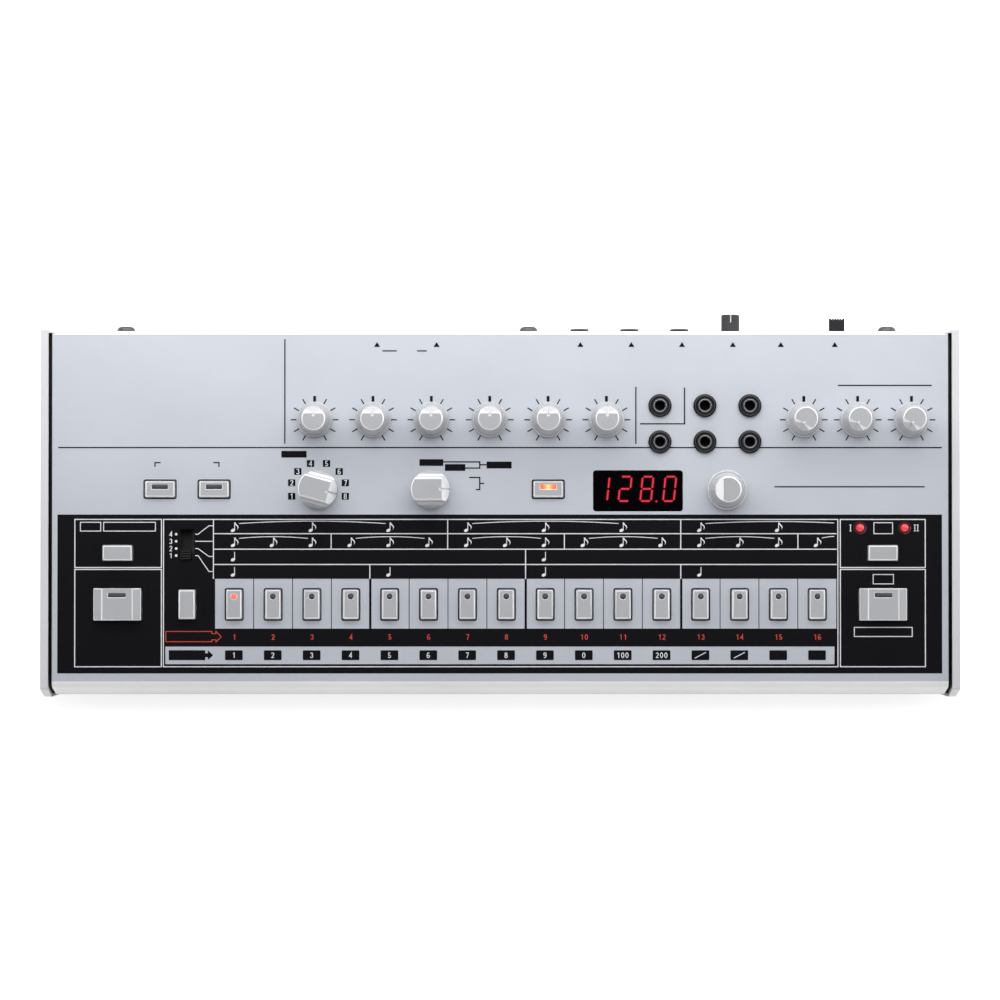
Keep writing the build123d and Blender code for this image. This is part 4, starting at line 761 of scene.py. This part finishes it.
def plate(sheet, outline, layer=0, base=0.0):
    """A filled shape of ink, on the panel or on a surface at another height."""
    foot, top = [base + n for n in layer_span(layer)]
    below = [sheet.verts.new(on_panel(u, v, foot)) for u, v in outline]
    above = [sheet.verts.new(on_panel(u, v, top)) for u, v in outline]
    sheet.faces.new(above)
    sheet.faces.new(below[::-1])
    for i, corner in enumerate(below):
        j = (i + 1) % len(below)
        sheet.faces.new((corner, below[j], above[j], above[i]))


def ring(sheet, outer, inner, layer=0):
    """Ink between two outlines with the same number of corners."""
    foot, top = layer_span(layer)
    edges = ((outer, top), (inner, top), (inner, foot), (outer, foot))
    sew(sheet, [[sheet.verts.new(on_panel(u, v, n)) for u, v in loop] for loop, n in edges])


def both_sides(points, width, closed):
    """The two edges of a stroke, mitred at its corners."""
    points = [Vector(point) for point in points]
    last = len(points) - 1
    left, right = [], []
    for i, point in enumerate(points):
        runs = []
        if i or closed:
            runs.append((point - points[i - 1]).normalized())
        if i < last or closed:
            runs.append((points[(i + 1) % len(points)] - point).normalized())
        sides = [Vector((-run.y, run.x)) for run in runs]
        mitre = sum(sides, Vector((0, 0)))
        mitre *= width / mitre.dot(sides[0]) / 2
        left.append(point + mitre)
        right.append(point - mitre)
    return left, right


def stroke(sheet, points, width, layer=0, closed=False):
    """A line of ink of even width."""
    left, right = both_sides(points, width, closed)
    if closed:
        ring(sheet, right, left, layer)
    else:
        plate(sheet, right + left[::-1], layer)


def rect(u0, v0, u1, v1):
    """Corners of an upright rectangle, anticlockwise."""
    return [(u0, v0), (u1, v0), (u1, v1), (u0, v1)]


def arc(u, v, radius, start, end, steps, squash=1.0, lean=0.0):
    """Points on an arc, from one angle to another in degrees; squash and lean make it an ellipse."""
    points = []
    tilt_x, tilt_y = math.cos(math.radians(lean)), math.sin(math.radians(lean))
    for i in range(steps + 1):
        angle = math.radians(start + (end - start) * i / steps)
        x, y = radius * math.cos(angle), radius * squash * math.sin(angle)
        points.append((u + x * tilt_x - y * tilt_y, v + x * tilt_y + y * tilt_x))
    return points


def disc(u, v, radius, steps=16, squash=1.0, lean=0.0):
    """A round or oval outline."""
    return arc(u, v, radius, 0, 360, steps, squash, lean)[:-1]


def soft_rect(u, v, width, height, radius):
    """A rectangle about a centre, with rounded corners."""
    points = []
    for quarter, (side, rise) in enumerate(((1, 1), (-1, 1), (-1, -1), (1, -1))):
        corner = (u + side * (width / 2 - radius), v + rise * (height / 2 - radius))
        points += arc(*corner, radius, 90 * quarter, 90 * quarter + 90, CORNER_STEPS)
    return points


def printed(name, sheet, ink, body="case"):
    """Turns a sheet of ink into a piece that rides on a body."""
    bmesh.ops.recalc_face_normals(sheet, faces=sheet.faces)
    mesh = bpy.data.meshes.new(name)
    sheet.to_mesh(mesh)
    sheet.free()
    placed(name, mesh, [ink], body)
    print(name, len(mesh.polygons), "faces")


print("an ink layer is", INK, "mm thick")

# %% [markdown]
# ## Figures
# The numbers on such a panel are a plain grotesque: even strokes, round bowls, a one with a
# flag. Drawn in a box one unit high, each figure is only a few lines and arcs, and the pen that
# draws the frames can draw them too.

# %% Figures drawn with the same pen
FIGURE_PEN = 0.14
FIGURE_BOX_W, FIGURE_STEP = 0.5, 0.78
CLOSED, OPEN = True, False
BOWL = arc(0.25, 0.29, 0.225, 0, 360, 12)[:-1]
SIX_BACK = arc(0.28, 0.50, 0.255, 55, 180, 8, squash=1.70) + [(0.03, 0.32)]
FIGURE_STROKES = {
    "0": [(CLOSED, disc(0.25, 0.5, 0.225, 16, squash=1.93))],
    "1": [(OPEN, [(0.32, 0.0), (0.32, 1.0)]), (OPEN, [(0.07, 0.76), (0.20, 0.79), (0.30, 0.90)])],
    "2": [(OPEN, arc(0.25, 0.71, 0.215, 170, -35, 8) + [(0.06, 0.07), (0.5, 0.07)])],
    "3": [(OPEN, arc(0.24, 0.725, 0.195, 165, -80, 8)), (OPEN, arc(0.24, 0.285, 0.225, 80, -165, 8))],
    "4": [(OPEN, [(0.39, 0.0), (0.39, 0.93), (0.03, 0.32), (0.53, 0.32)])],
    "5": [(OPEN, [(0.46, 0.93), (0.13, 0.93), (0.08, 0.50)]), (OPEN, arc(0.24, 0.30, 0.23, 135, -160, 10))],
    "6": [(CLOSED, BOWL), (OPEN, SIX_BACK)],
    "7": [(OPEN, [(0.03, 0.93), (0.48, 0.93), (0.20, 0.0)])],
    "8": [(CLOSED, BOWL), (CLOSED, disc(0.25, 0.735, 0.195, 12))],
    "9": [(CLOSED, [(FIGURE_BOX_W - x, 1 - y) for x, y in BOWL]),
          (OPEN, [(FIGURE_BOX_W - x, 1 - y) for x, y in SIX_BACK])],
}


def number(sheet, value, u, v, height, layer=0):
    """A number of a given height, centred on a place."""
    figures = str(value)
    width = FIGURE_STEP * (len(figures) - 1) + FIGURE_BOX_W
    for i, figure in enumerate(figures):
        left = u + (i * FIGURE_STEP - width / 2) * height
        for closed, points in FIGURE_STROKES[figure]:
            spots = [(left + x * height, v + (y - 0.5) * height) for x, y in points]
            stroke(sheet, spots, FIGURE_PEN * height, layer, closed)


print(len(FIGURE_STROKES), "figures drawn")

# %% [markdown]
# ## The black field and its frames
# The lower half of the panel is one black field, broken by the holes that the buttons, lamps and
# the slide come through. A flat curve fills itself and leaves every inner outline open, which is
# the shortest way to a sheet with twenty-four holes.

# %% Black field
FIELD = (-168.78, -64.2, 168.43, -3.65)
SLOT_W, SLOT_D, TAB_OFF, TAB_TRAVEL = 5.5, 11.7, -0.5, 8.1
# The width of black left round a button's cut-out is painted shade that deepens the gap round the cap.
HOLE_R, SHADE_RIM_W = 0.7, 0.09
LAMP_V, LAMP_U, LAMP_HOLE_R = -8.7, (137.2, 154.2), 1.75
field_data = bpy.data.curves.new("black_field", "CURVE")
field_data.dimensions = "2D"
field_data.fill_mode = "BOTH"
field_data.extrude = (INK + KEY_IN) / 2 * MM


def field_outline(points):
    """One outline of the field: the outer one, or a hole in it."""
    spline = field_data.splines.new("POLY")
    spline.points.add(len(points) - 1)
    for corner, (u, v) in zip(spline.points, points):
        corner.co = (u * MM, v * MM, 0, 1)
    spline.use_cyclic_u = True


def soft_hole(hole, more=0.0):
    """Outline of a button's cut-out, let out a little."""
    u0, v0, u1, v1 = hole
    return soft_rect((u0 + u1) / 2, (v0 + v1) / 2, u1 - u0 + 2 * more, v1 - v0 + 2 * more, HOLE_R + more)


field_outline(rect(*FIELD))
for node in BUTTONS:
    if cut_outs[node][3] < FIELD[3]:
        field_outline(soft_hole(cut_outs[node]))
low, high = panel_box(loose_parts("scale_slide")[0])
slot_u, slot_v = (low.x + high.x) / 2 - TAB_OFF, (low.y + high.y + TAB_TRAVEL) / 2
field_outline(rect(slot_u - SLOT_W / 2, slot_v - SLOT_D / 2, slot_u + SLOT_W / 2, slot_v + SLOT_D / 2))
for lamp_u in LAMP_U:
    field_outline(disc(lamp_u, LAMP_V, LAMP_HOLE_R))
holder = bpy.data.objects.new("field_outlines", field_data)
field_mesh = bpy.data.meshes.new_from_object(holder)
field_mesh.name = "black_field"
field_mesh.transform(panel @ Matrix.Translation((0, 0, (INK - KEY_IN) / 2 * MM)))
bpy.data.objects.remove(holder)
placed("black_field", field_mesh, [FINISHES["black_ink"]], "case")
print("black field", len(field_mesh.polygons), "faces")

# %% White frames and the step chart
FRAME_LINE = 0.36
LEFT_BOX, CENTRE_BOX, RIGHT_BOX = (-162.15, -129.15), (-128.36, 128.71), (129.65, 162.05)
BOX_TOP, BOX_FOOT = -5.5, -61.65
SPLIT_V, SPLIT_GAP = -24.2, 0.36
CHART_U0, CHART_U1 = -109.34, 128.2
ROW_V = (BOX_TOP, -10.94, -16.85, -22.68, -28.17)
STEP_U0, STEP_PITCH, STEP_COUNT = -101.4, 14.815, 16
ROW_DIVIDERS = ((-20.05, 68.81), (-64.47, -20.05, 24.44, 68.81, 113.5), (9.65,), (-49.71, 9.65, 68.81))

sheet = bmesh.new()
for u0, u1 in (LEFT_BOX, RIGHT_BOX):
    stroke(sheet, rect(u0, SPLIT_V + SPLIT_GAP, u1, BOX_TOP), FRAME_LINE, 1, closed=True)
    stroke(sheet, rect(u0, BOX_FOOT, u1, SPLIT_V - SPLIT_GAP), FRAME_LINE, 1, closed=True)
stroke(sheet, rect(CENTRE_BOX[0], BOX_FOOT, CENTRE_BOX[1], BOX_TOP), FRAME_LINE, 1, closed=True)
for v in ROW_V[1:-1]:
    stroke(sheet, [(CHART_U0, v), (CHART_U1, v)], FRAME_LINE, 1)
stroke(sheet, [(CHART_U0, ROW_V[-1]), (CHART_U0, BOX_TOP)], FRAME_LINE, 1)
for row, dividers in enumerate(ROW_DIVIDERS):
    for u in dividers:
        stroke(sheet, [(u, ROW_V[row + 1]), (u, ROW_V[row])], FRAME_LINE, 1)
printed("chart_frames", sheet, FINISHES["white_ink"])

# %% Scale leaders and small boxes
SLIDE_STOP_V = (-19.29, -16.62, -13.84, -11.13)
LEADER_END_V = (-25.35, -19.63, -13.84, -7.93)
LEADER_U = (-116.28, -115.17, -111.06, -109.5)
STOP_DOT_U, STOP_DOT_R, STOP_DOT_STEPS = -123.52, 0.5, 12
STOP_NUMBER_U, STOP_NUMBER_H = -125.58, 2.0
THIN_LINE = 0.3
SMALL_BOXES = ((-160.05, -9.95, -152.31, -6.60), (-151.2, -9.95, -131.45, -6.60),
               (142.17, -30.08, 149.9, -26.5), (134.96, -50.13, 157.03, -46.66),
               (142.47, -10.94, 149.6, -6.75))
LAMP_MARKS = ((133.55,), (158.1, 159.2))
MARK_FOOT, MARK_TOP = -9.9, -7.6
SERIF_HALF, SERIF_W = 0.4, 0.25
sheet = bmesh.new()
for stop, (v, end_v) in enumerate(zip(SLIDE_STOP_V, LEADER_END_V)):
    near, bend, far, end = LEADER_U
    stroke(sheet, [(near, v), (bend, v), (far, end_v), (end, end_v)], THIN_LINE, 1)
    plate(sheet, disc(STOP_DOT_U, v, STOP_DOT_R, STOP_DOT_STEPS), 1)
    number(sheet, stop + 1, STOP_NUMBER_U, v, STOP_NUMBER_H, 1)
for box in SMALL_BOXES:
    stroke(sheet, rect(*box), THIN_LINE, 1, closed=True)
for marks in LAMP_MARKS:
    for u in marks:
        stroke(sheet, [(u, MARK_FOOT), (u, MARK_TOP)], THIN_LINE, 1)
        for end_v in (MARK_FOOT, MARK_TOP):
            stroke(sheet, [(u - SERIF_HALF, end_v), (u + SERIF_HALF, end_v)], SERIF_W, 1)
printed("scale_marks", sheet, FINISHES["white_ink"])

# %% [markdown]
# ## Notes over the steps
# Each row of the chart shows how long a step lasts at one setting of the scale slide: as notes
# over the steps where a beat falls, tied by slurs where three of them make a group. A note is a
# tilted oval head, a stem, and for the short ones a flag that narrows as it curls down.

# %% Notes and slurs
HEAD_R, HEAD_SQUASH, HEAD_LEAN = 0.85, 0.68, 25
STEM_L, STEM_W = 3.0, 0.28
FLAG = ((0.0, 3.05, 0.50), (0.45, 2.35, 0.42), (1.15, 1.75, 0.38), (1.35, 1.05, 0.30), (1.0, 0.35, 0.15))
STEM_FOOT = FLAG_DROP = 0.2
SLUR_W, SLUR_STEPS = 0.26, 14


def note(sheet, u, v, flagged):
    """A note whose head is centred on a place."""
    plate(sheet, disc(u, v, HEAD_R, squash=HEAD_SQUASH, lean=HEAD_LEAN), 1)
    stem_u = u + HEAD_R * math.cos(math.radians(HEAD_LEAN)) - STEM_W / 2
    plate(sheet, rect(stem_u - STEM_W / 2, v + STEM_FOOT, stem_u + STEM_W / 2, v + STEM_L), 1)
    if flagged:
        outer = [(stem_u + du + width / 2, v + dv) for du, dv, width in FLAG]
        inner = [(stem_u + du - width / 2, v + dv - FLAG_DROP) for du, dv, width in FLAG]
        plate(sheet, inner + outer[::-1], 1)


def slur(sheet, start, top, end):
    """A thin bow between two notes, through its highest point."""
    points = []
    for i in range(SLUR_STEPS + 1):
        t = i / SLUR_STEPS
        bow = 4 * t * (1 - t)
        base = start[1] + (end[1] - start[1]) * t
        points.append((start[0] + (end[0] - start[0]) * t, base + (top - (start[1] + end[1]) / 2) * bow))
    stroke(sheet, points, SLUR_W, 1)


def step_u(step):
    """Centre of a step, counted from one."""
    return STEP_U0 + (step - 1) * STEP_PITCH


HEAD_V = (-9.67, -15.4, -20.87, -26.7)
NOTE_EVERY, FLAGGED_ROWS = (2, 1, 8, 4), 2
TRIPLET = 3
NOTE_BACK = 0.5
SLUR_START, SLUR_END = 1.85, -1.55
LONG_SLURS = ((1, 5), (7, 11))
LONG_SLUR_V, LONG_SLUR_TOP = -7.07, -6.16
TRIPLET_V, TRIPLET_TOP = -12.73, -12.08
CUT_U = 127.3
CUT_SLURS = ((13, -7.07, -6.3, -6.85), (16, -12.6, -12.15, -12.0))
sheet = bmesh.new()
for step in range(1, STEP_COUNT + 1):
    for row, every in enumerate(NOTE_EVERY):
        if (step - 1) % every == 0:
            note(sheet, step_u(step) - NOTE_BACK, HEAD_V[row], row < FLAGGED_ROWS)
TRIPLETS = [(step, step + TRIPLET - 1) for step in range(1, STEP_COUNT + 1 - TRIPLET, TRIPLET)]
for spans, v, top in ((LONG_SLURS, LONG_SLUR_V, LONG_SLUR_TOP), (TRIPLETS, TRIPLET_V, TRIPLET_TOP)):
    for first_step, last_step in spans:
        slur(sheet, (step_u(first_step) + SLUR_START, v), top, (step_u(last_step) + SLUR_END, v))
for step, start_v, top, cut_v in CUT_SLURS:
    slur(sheet, (step_u(step) + SLUR_START, start_v), top, (CUT_U, cut_v))
printed("rhythm_notes", sheet, FINISHES["white_ink"])

# %% Silver windows round the steps
CELL_W, CELL_TOP, CELL_FOOT = 14.5, -28.17, -47.12
CELL_CORNER = 0.05
GROUP, GROUP_INSET = 4, 0.3
NUMBER_BAR = (-127.6, -60.66, 127.37, -53.98)
sheet = bmesh.new()
for step in range(1, STEP_COUNT + 1):
    hole = cut_outs[f"step_button_{step:02d}"]
    u0 = step_u(step) - CELL_W / 2 + (GROUP_INSET if step % GROUP == 1 and step > 1 else 0)
    u1 = step_u(step) + CELL_W / 2 - (GROUP_INSET if step % GROUP == 0 and step < STEP_COUNT else 0)
    cell = soft_rect((u0 + u1) / 2, (CELL_FOOT + CELL_TOP) / 2, u1 - u0, CELL_TOP - CELL_FOOT, CELL_CORNER)
    # The hole in each window is let out, so a thin rim of the black field shows round it as painted shade.
    ring(sheet, cell, soft_hole(hole, SHADE_RIM_W), 1)
plate(sheet, rect(*NUMBER_BAR), 1)
printed("silver_windows", sheet, FINISHES["silver_panel"])

# %% Red numbers and the red arrow
NUMBER_H = 2.1
RED_NUMBER_V, RED_SHIFT = -50.32, 0.05
RED_ARROW = ((-127.41, -52.1), (-109.9, -52.1), (-109.9, -51.4), (-108.3, -51.4), (-108.3, -52.2),
             (-106.3, -50.2), (-108.3, -48.2), (-108.3, -49.0), (-109.9, -49.0), (-109.9, -48.2),
             (-127.41, -48.2))
sheet = bmesh.new()
for step in range(1, STEP_COUNT + 1):
    number(sheet, step, step_u(step) + RED_SHIFT, RED_NUMBER_V, NUMBER_H, 1)
stroke(sheet, RED_ARROW, THIN_LINE, 1, closed=True)
printed("red_step_numbers", sheet, FINISHES["red_ink"])

# %% Black boxes of the number bar
BOX_W, BOX_H, BOX_CORNER = 6.75, 3.74, 0.35
BOX_V, BOX_SHIFT = -57.26, -0.1
BAR_ARROW = ((-126.3, -59.15), (-112.4, -59.15), (-112.4, -58.0), (-111.4, -58.0), (-111.4, -59.15),
             (-109.4, -57.25), (-111.4, -55.35), (-111.4, -56.5), (-112.4, -56.5), (-112.4, -55.35),
             (-126.3, -55.35))
sheet = bmesh.new()
for step in range(1, STEP_COUNT + 1):
    plate(sheet, soft_rect(step_u(step) + BOX_SHIFT, BOX_V, BOX_W, BOX_H, BOX_CORNER), 2)
plate(sheet, BAR_ARROW, 2)
printed("number_boxes", sheet, FINISHES["black_ink"])

# %% What stands in the boxes
BOX_NUMBERS = (1, 2, 3, 4, 5, 6, 7, 8, 9, 0, 100, 200)
SLASH_STEPS, SLASH_U, SLASH_V = (13, 14), 2.1, 1.1
sheet = bmesh.new()
for step, value in enumerate(BOX_NUMBERS, start=1):
    number(sheet, value, step_u(step) + BOX_SHIFT, BOX_V, NUMBER_H, 3)
for step in SLASH_STEPS:
    u = step_u(step) + BOX_SHIFT
    stroke(sheet, [(u - SLASH_U, BOX_V - SLASH_V), (u + SLASH_U, BOX_V + SLASH_V)], THIN_LINE, 3)
printed("white_box_numbers", sheet, FINISHES["white_ink"])

# %% [markdown]
# ## Dark print on the silver half
# Above the black field the ink is reversed: dark lines on silver paint divide the panel into its
# jobs, short ticks stand round each knob, small arrows point over the edge to the sockets, and
# eight numbered boxes stand round the instrument selector.

# %% Dividing lines and brackets
LINE_W = 0.5
LINES = (
    ((-168.59, 21.88), (168.43, 21.88)),
    ((-82.16, 23.41), (-82.16, 63.29)),
    ((51.73, 23.26), (51.73, 45.1)),
    ((53.3, 30.96), (70.3, 30.96), (70.3, 44.8)),
    ((128.78, 45.63), (164.62, 45.63)),
    ((104.57, 6.94), (161.88, 6.94)),
    ((-44.95, 58.79), (-39.46, 58.79)),
    ((-31.76, 58.79), (-28.06, 58.79)),
    ((-131.64, 14.49), (-131.64, 16.13), (-129.47, 16.13)),
    ((-109.38, 16.13), (-107.28, 16.13), (-107.28, 14.49)),
    ((-21.73, 16.43), (-7.82, 16.43), (-7.82, 14.07), (-13.34, 14.07)),
    ((-7.82, 15.33), (-5.22, 15.33)),
    ((-11.89, 10.48), (-7.82, 10.48), (-7.82, 5.87), (-9.34, 5.87)),
    ((-7.82, 8.23), (-6.14, 8.23)),
)
BARE_BOXES = ((-30.84, 14.91, -21.73, 17.46), (-21.12, 13.0, -13.34, 15.59), (-5.22, 13.92, 4.35, 16.55),
              (-83.49, 18.07, -73.85, 20.63))
sheet = bmesh.new()
for points in LINES:
    stroke(sheet, points, LINE_W)
for box in BARE_BOXES:
    plate(sheet, rect(*box))
for node in ("menu_button", "step_loop_button", "tempo_button"):
    # A thin ring of black ink round these holes is painted shade in the gap round the cap.
    ring(sheet, soft_hole(cut_outs[node], SHADE_RIM_W), soft_hole(cut_outs[node]))
printed("panel_lines", sheet, FINISHES["black_ink"])

# %% Ticks round the knobs
TICK_NEAR, TICK_FAR, TICK_W, TOP_TICK_W = 6.9, 9.1, 0.46, 1.1
TICK_STEP, TICK_END = 30, 150
DIALS = KNOBS[:KNOBS.index("value_knob")]


def middle_of(node):
    """Middle of a knob on the panel."""
    u0, v0, u1, v1 = cut_outs[node]
    return Vector(((u0 + u1) / 2, (v0 + v1) / 2))


sheet = bmesh.new()
for node in DIALS:
    centre = middle_of(node)
    for turn in range(-TICK_END, TICK_END + 1, TICK_STEP):
        way = Vector((math.sin(math.radians(turn)), math.cos(math.radians(turn))))
        stroke(sheet, [centre + way * TICK_NEAR, centre + way * TICK_FAR], TICK_W if turn else TOP_TICK_W)
printed("knob_ticks", sheet, FINISHES["black_ink"])

# %% Socket arrows and selector numbers
ARROW_U = (-47.01, -24.29, 30.58, 50.02, 69.35, 88.75, 107.05, 127.64)
ARROW_V, ARROW_W, ARROW_H = 61.25, 2.4, 1.9
HALF_BOX_W, HALF_BOX_H = 1.4, 1.3
RIGHT_BOXES = ((3.05, 9.91), (7.89, 6.86), (10.22, 2.55), (10.22, -2.59))
SELECTOR_BOXES = [(-du, dv) for du, dv in RIGHT_BOXES[::-1]] + list(RIGHT_BOXES)
selector = middle_of("instrument_selector")
arrow_foot, arrow_top = ARROW_V - ARROW_H / 2, ARROW_V + ARROW_H / 2
sheet, on_boxes = bmesh.new(), bmesh.new()
for u in ARROW_U:
    plate(sheet, [(u - ARROW_W / 2, arrow_foot), (u + ARROW_W / 2, arrow_foot), (u, arrow_top)])
for value, (du, dv) in enumerate(SELECTOR_BOXES, start=1):
    u, v = selector.x + du, selector.y + dv
    plate(sheet, rect(u - HALF_BOX_W, v - HALF_BOX_H, u + HALF_BOX_W, v + HALF_BOX_H))
    number(on_boxes, value, u, v, NUMBER_H, 1)
printed("socket_arrows", sheet, FINISHES["black_ink"])
printed("selector_numbers", on_boxes, FINISHES["white_ink"])

# %% Pointer of the volume knob
POINTER_W, POINTER_L, POINTER_EDGE, POINTER_SUNK = 0.46, 3.1, 0.05, 0.25
low, high = panel_box(loose_parts("volume_knob")[0])
u = (low.x + high.x) / 2
pointer = rect(u - POINTER_W / 2, high.y - POINTER_L, u + POINTER_W / 2, high.y - POINTER_EDGE)
sheet = bmesh.new()
plate(sheet, pointer, base=high.z - POINTER_SUNK)
printed("volume_pointer", sheet, FINISHES["white_ink"], "volume_knob")

# %% [markdown]
# ## Display and lamps
# The display is four figures of seven light bars each behind smoked plastic. Every bar is a
# pointed six-sided plate, and a figure is the list of bars that are lit. The figures lean a few
# degrees, as they do on the real part. Light that has to pass a dark filter is slow to render
# cleanly, so the bars lie on the window's face instead. Under them lies a wider and much darker
# copy, for the light that the plastic scatters round each one.

# %% Lit figures
FIGURE_U = (41.2, 47.6, 55.9, 64.6)
FIGURE_FOOT, FIGURE_TOP = 1.2, 11.1
FIGURE_W, FIGURE_LEAN = 4.7, 6
BAR_W, BAR_GAP, HALO_W = 0.6, 0.26, 1.4
POINT_U, POINT_V, POINT_R = 59.55, 1.35, 0.33
BARS = {"a": ((-1, 1), (1, 1)), "b": ((1, 1), (1, 0)), "c": ((1, 0), (1, -1)), "d": ((-1, -1), (1, -1)),
        "e": ((-1, -1), (-1, 0)), "f": ((-1, 0), (-1, 1)), "g": ((-1, 0), (1, 0))}
ONE = "bc"
FIGURES = (ONE, "abged", "abcdefg", "abcdef")


def light_bar(sheet, centre_u, bar, width, layer):
    """One pointed bar of a figure, as wide as asked."""
    middle_v = (FIGURE_FOOT + FIGURE_TOP) / 2
    half_w, half_h = (FIGURE_W - BAR_W) / 2, (FIGURE_TOP - FIGURE_FOOT - BAR_W) / 2
    start, end = [Vector((x * half_w, y * half_h)) for x, y in BARS[bar]]
    run = (end - start).normalized()
    across = Vector((-run.y, run.x)) * width / 2
    start, end = start + run * BAR_GAP, end - run * BAR_GAP
    taper = run * BAR_W / 2
    outline = (start, start + taper - across, end - taper - across, end, end - taper + across,
               start + taper + across)
    lean = math.tan(math.radians(FIGURE_LEAN))
    plate(sheet, [(centre_u + point.x + point.y * lean, middle_v + point.y) for point in outline], layer)


FIGURE_SHEETS = (("figure_halo", SEGMENT_HALO, HALO_W), ("lit_figures", SEGMENT_LIT, BAR_W))
for layer, (name, glow, width) in enumerate(FIGURE_SHEETS):
    sheet = bmesh.new()
    for centre_u, bars in zip(FIGURE_U, FIGURES):
        shift = -FIGURE_W / 2 + BAR_W / 2 if bars == ONE else 0
        for bar in bars:
            light_bar(sheet, centre_u + shift, bar, width, layer)
    plate(sheet, disc(POINT_U, POINT_V, POINT_R + (width - BAR_W) / 2), layer)
    printed(name, sheet, glow)
nodes["group_leds"].data.materials[0] = LAMP_LIT
print("display lit")

# %% [markdown]
# The two round lamps sit in dark wells a little wider than themselves. A ring of dark red, painted
# shade with the lamps' red light in it, and a thin paler arc, a painted highlight where the wall of
# the well shows, are enough to sink them.

# %% Wells of the two lamps
WELL_R, WELL_RIM_W, WELL_STEPS = 2.55, 0.3, 32
RIM_START, RIM_END, RIM_STEPS = -95, 10, 12
# Dark red round each lamp: painted shade of the well, with the lamp's red light in it.
LAMP_WELL_SHADE = finish("lamp_well", (0.03, 0.001, 0.003), 0.35, bump=0.0)
# A paler arc: a painted highlight where the wall of the well shows.
WELL_RIM_HIGHLIGHT = finish("lamp_well_rim", (0.30, 0.13, 0.15), 0.3, bump=0.0)
wells, rims = bmesh.new(), bmesh.new()
for lamp_u in LAMP_U:
    outer, inner = [disc(lamp_u, LAMP_V, radius, WELL_STEPS) for radius in (WELL_R, LAMP_HOLE_R)]
    ring(wells, outer, inner, 1)
    rim = arc(lamp_u, LAMP_V, WELL_R - WELL_RIM_W, RIM_START, RIM_END, RIM_STEPS)
    stroke(rims, rim, WELL_RIM_W / 2, 2)
printed("lamp_wells", wells, LAMP_WELL_SHADE)
printed("lamp_well_rims", rims, WELL_RIM_HIGHLIGHT)

# %% Size of the dressed machine
low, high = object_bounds()
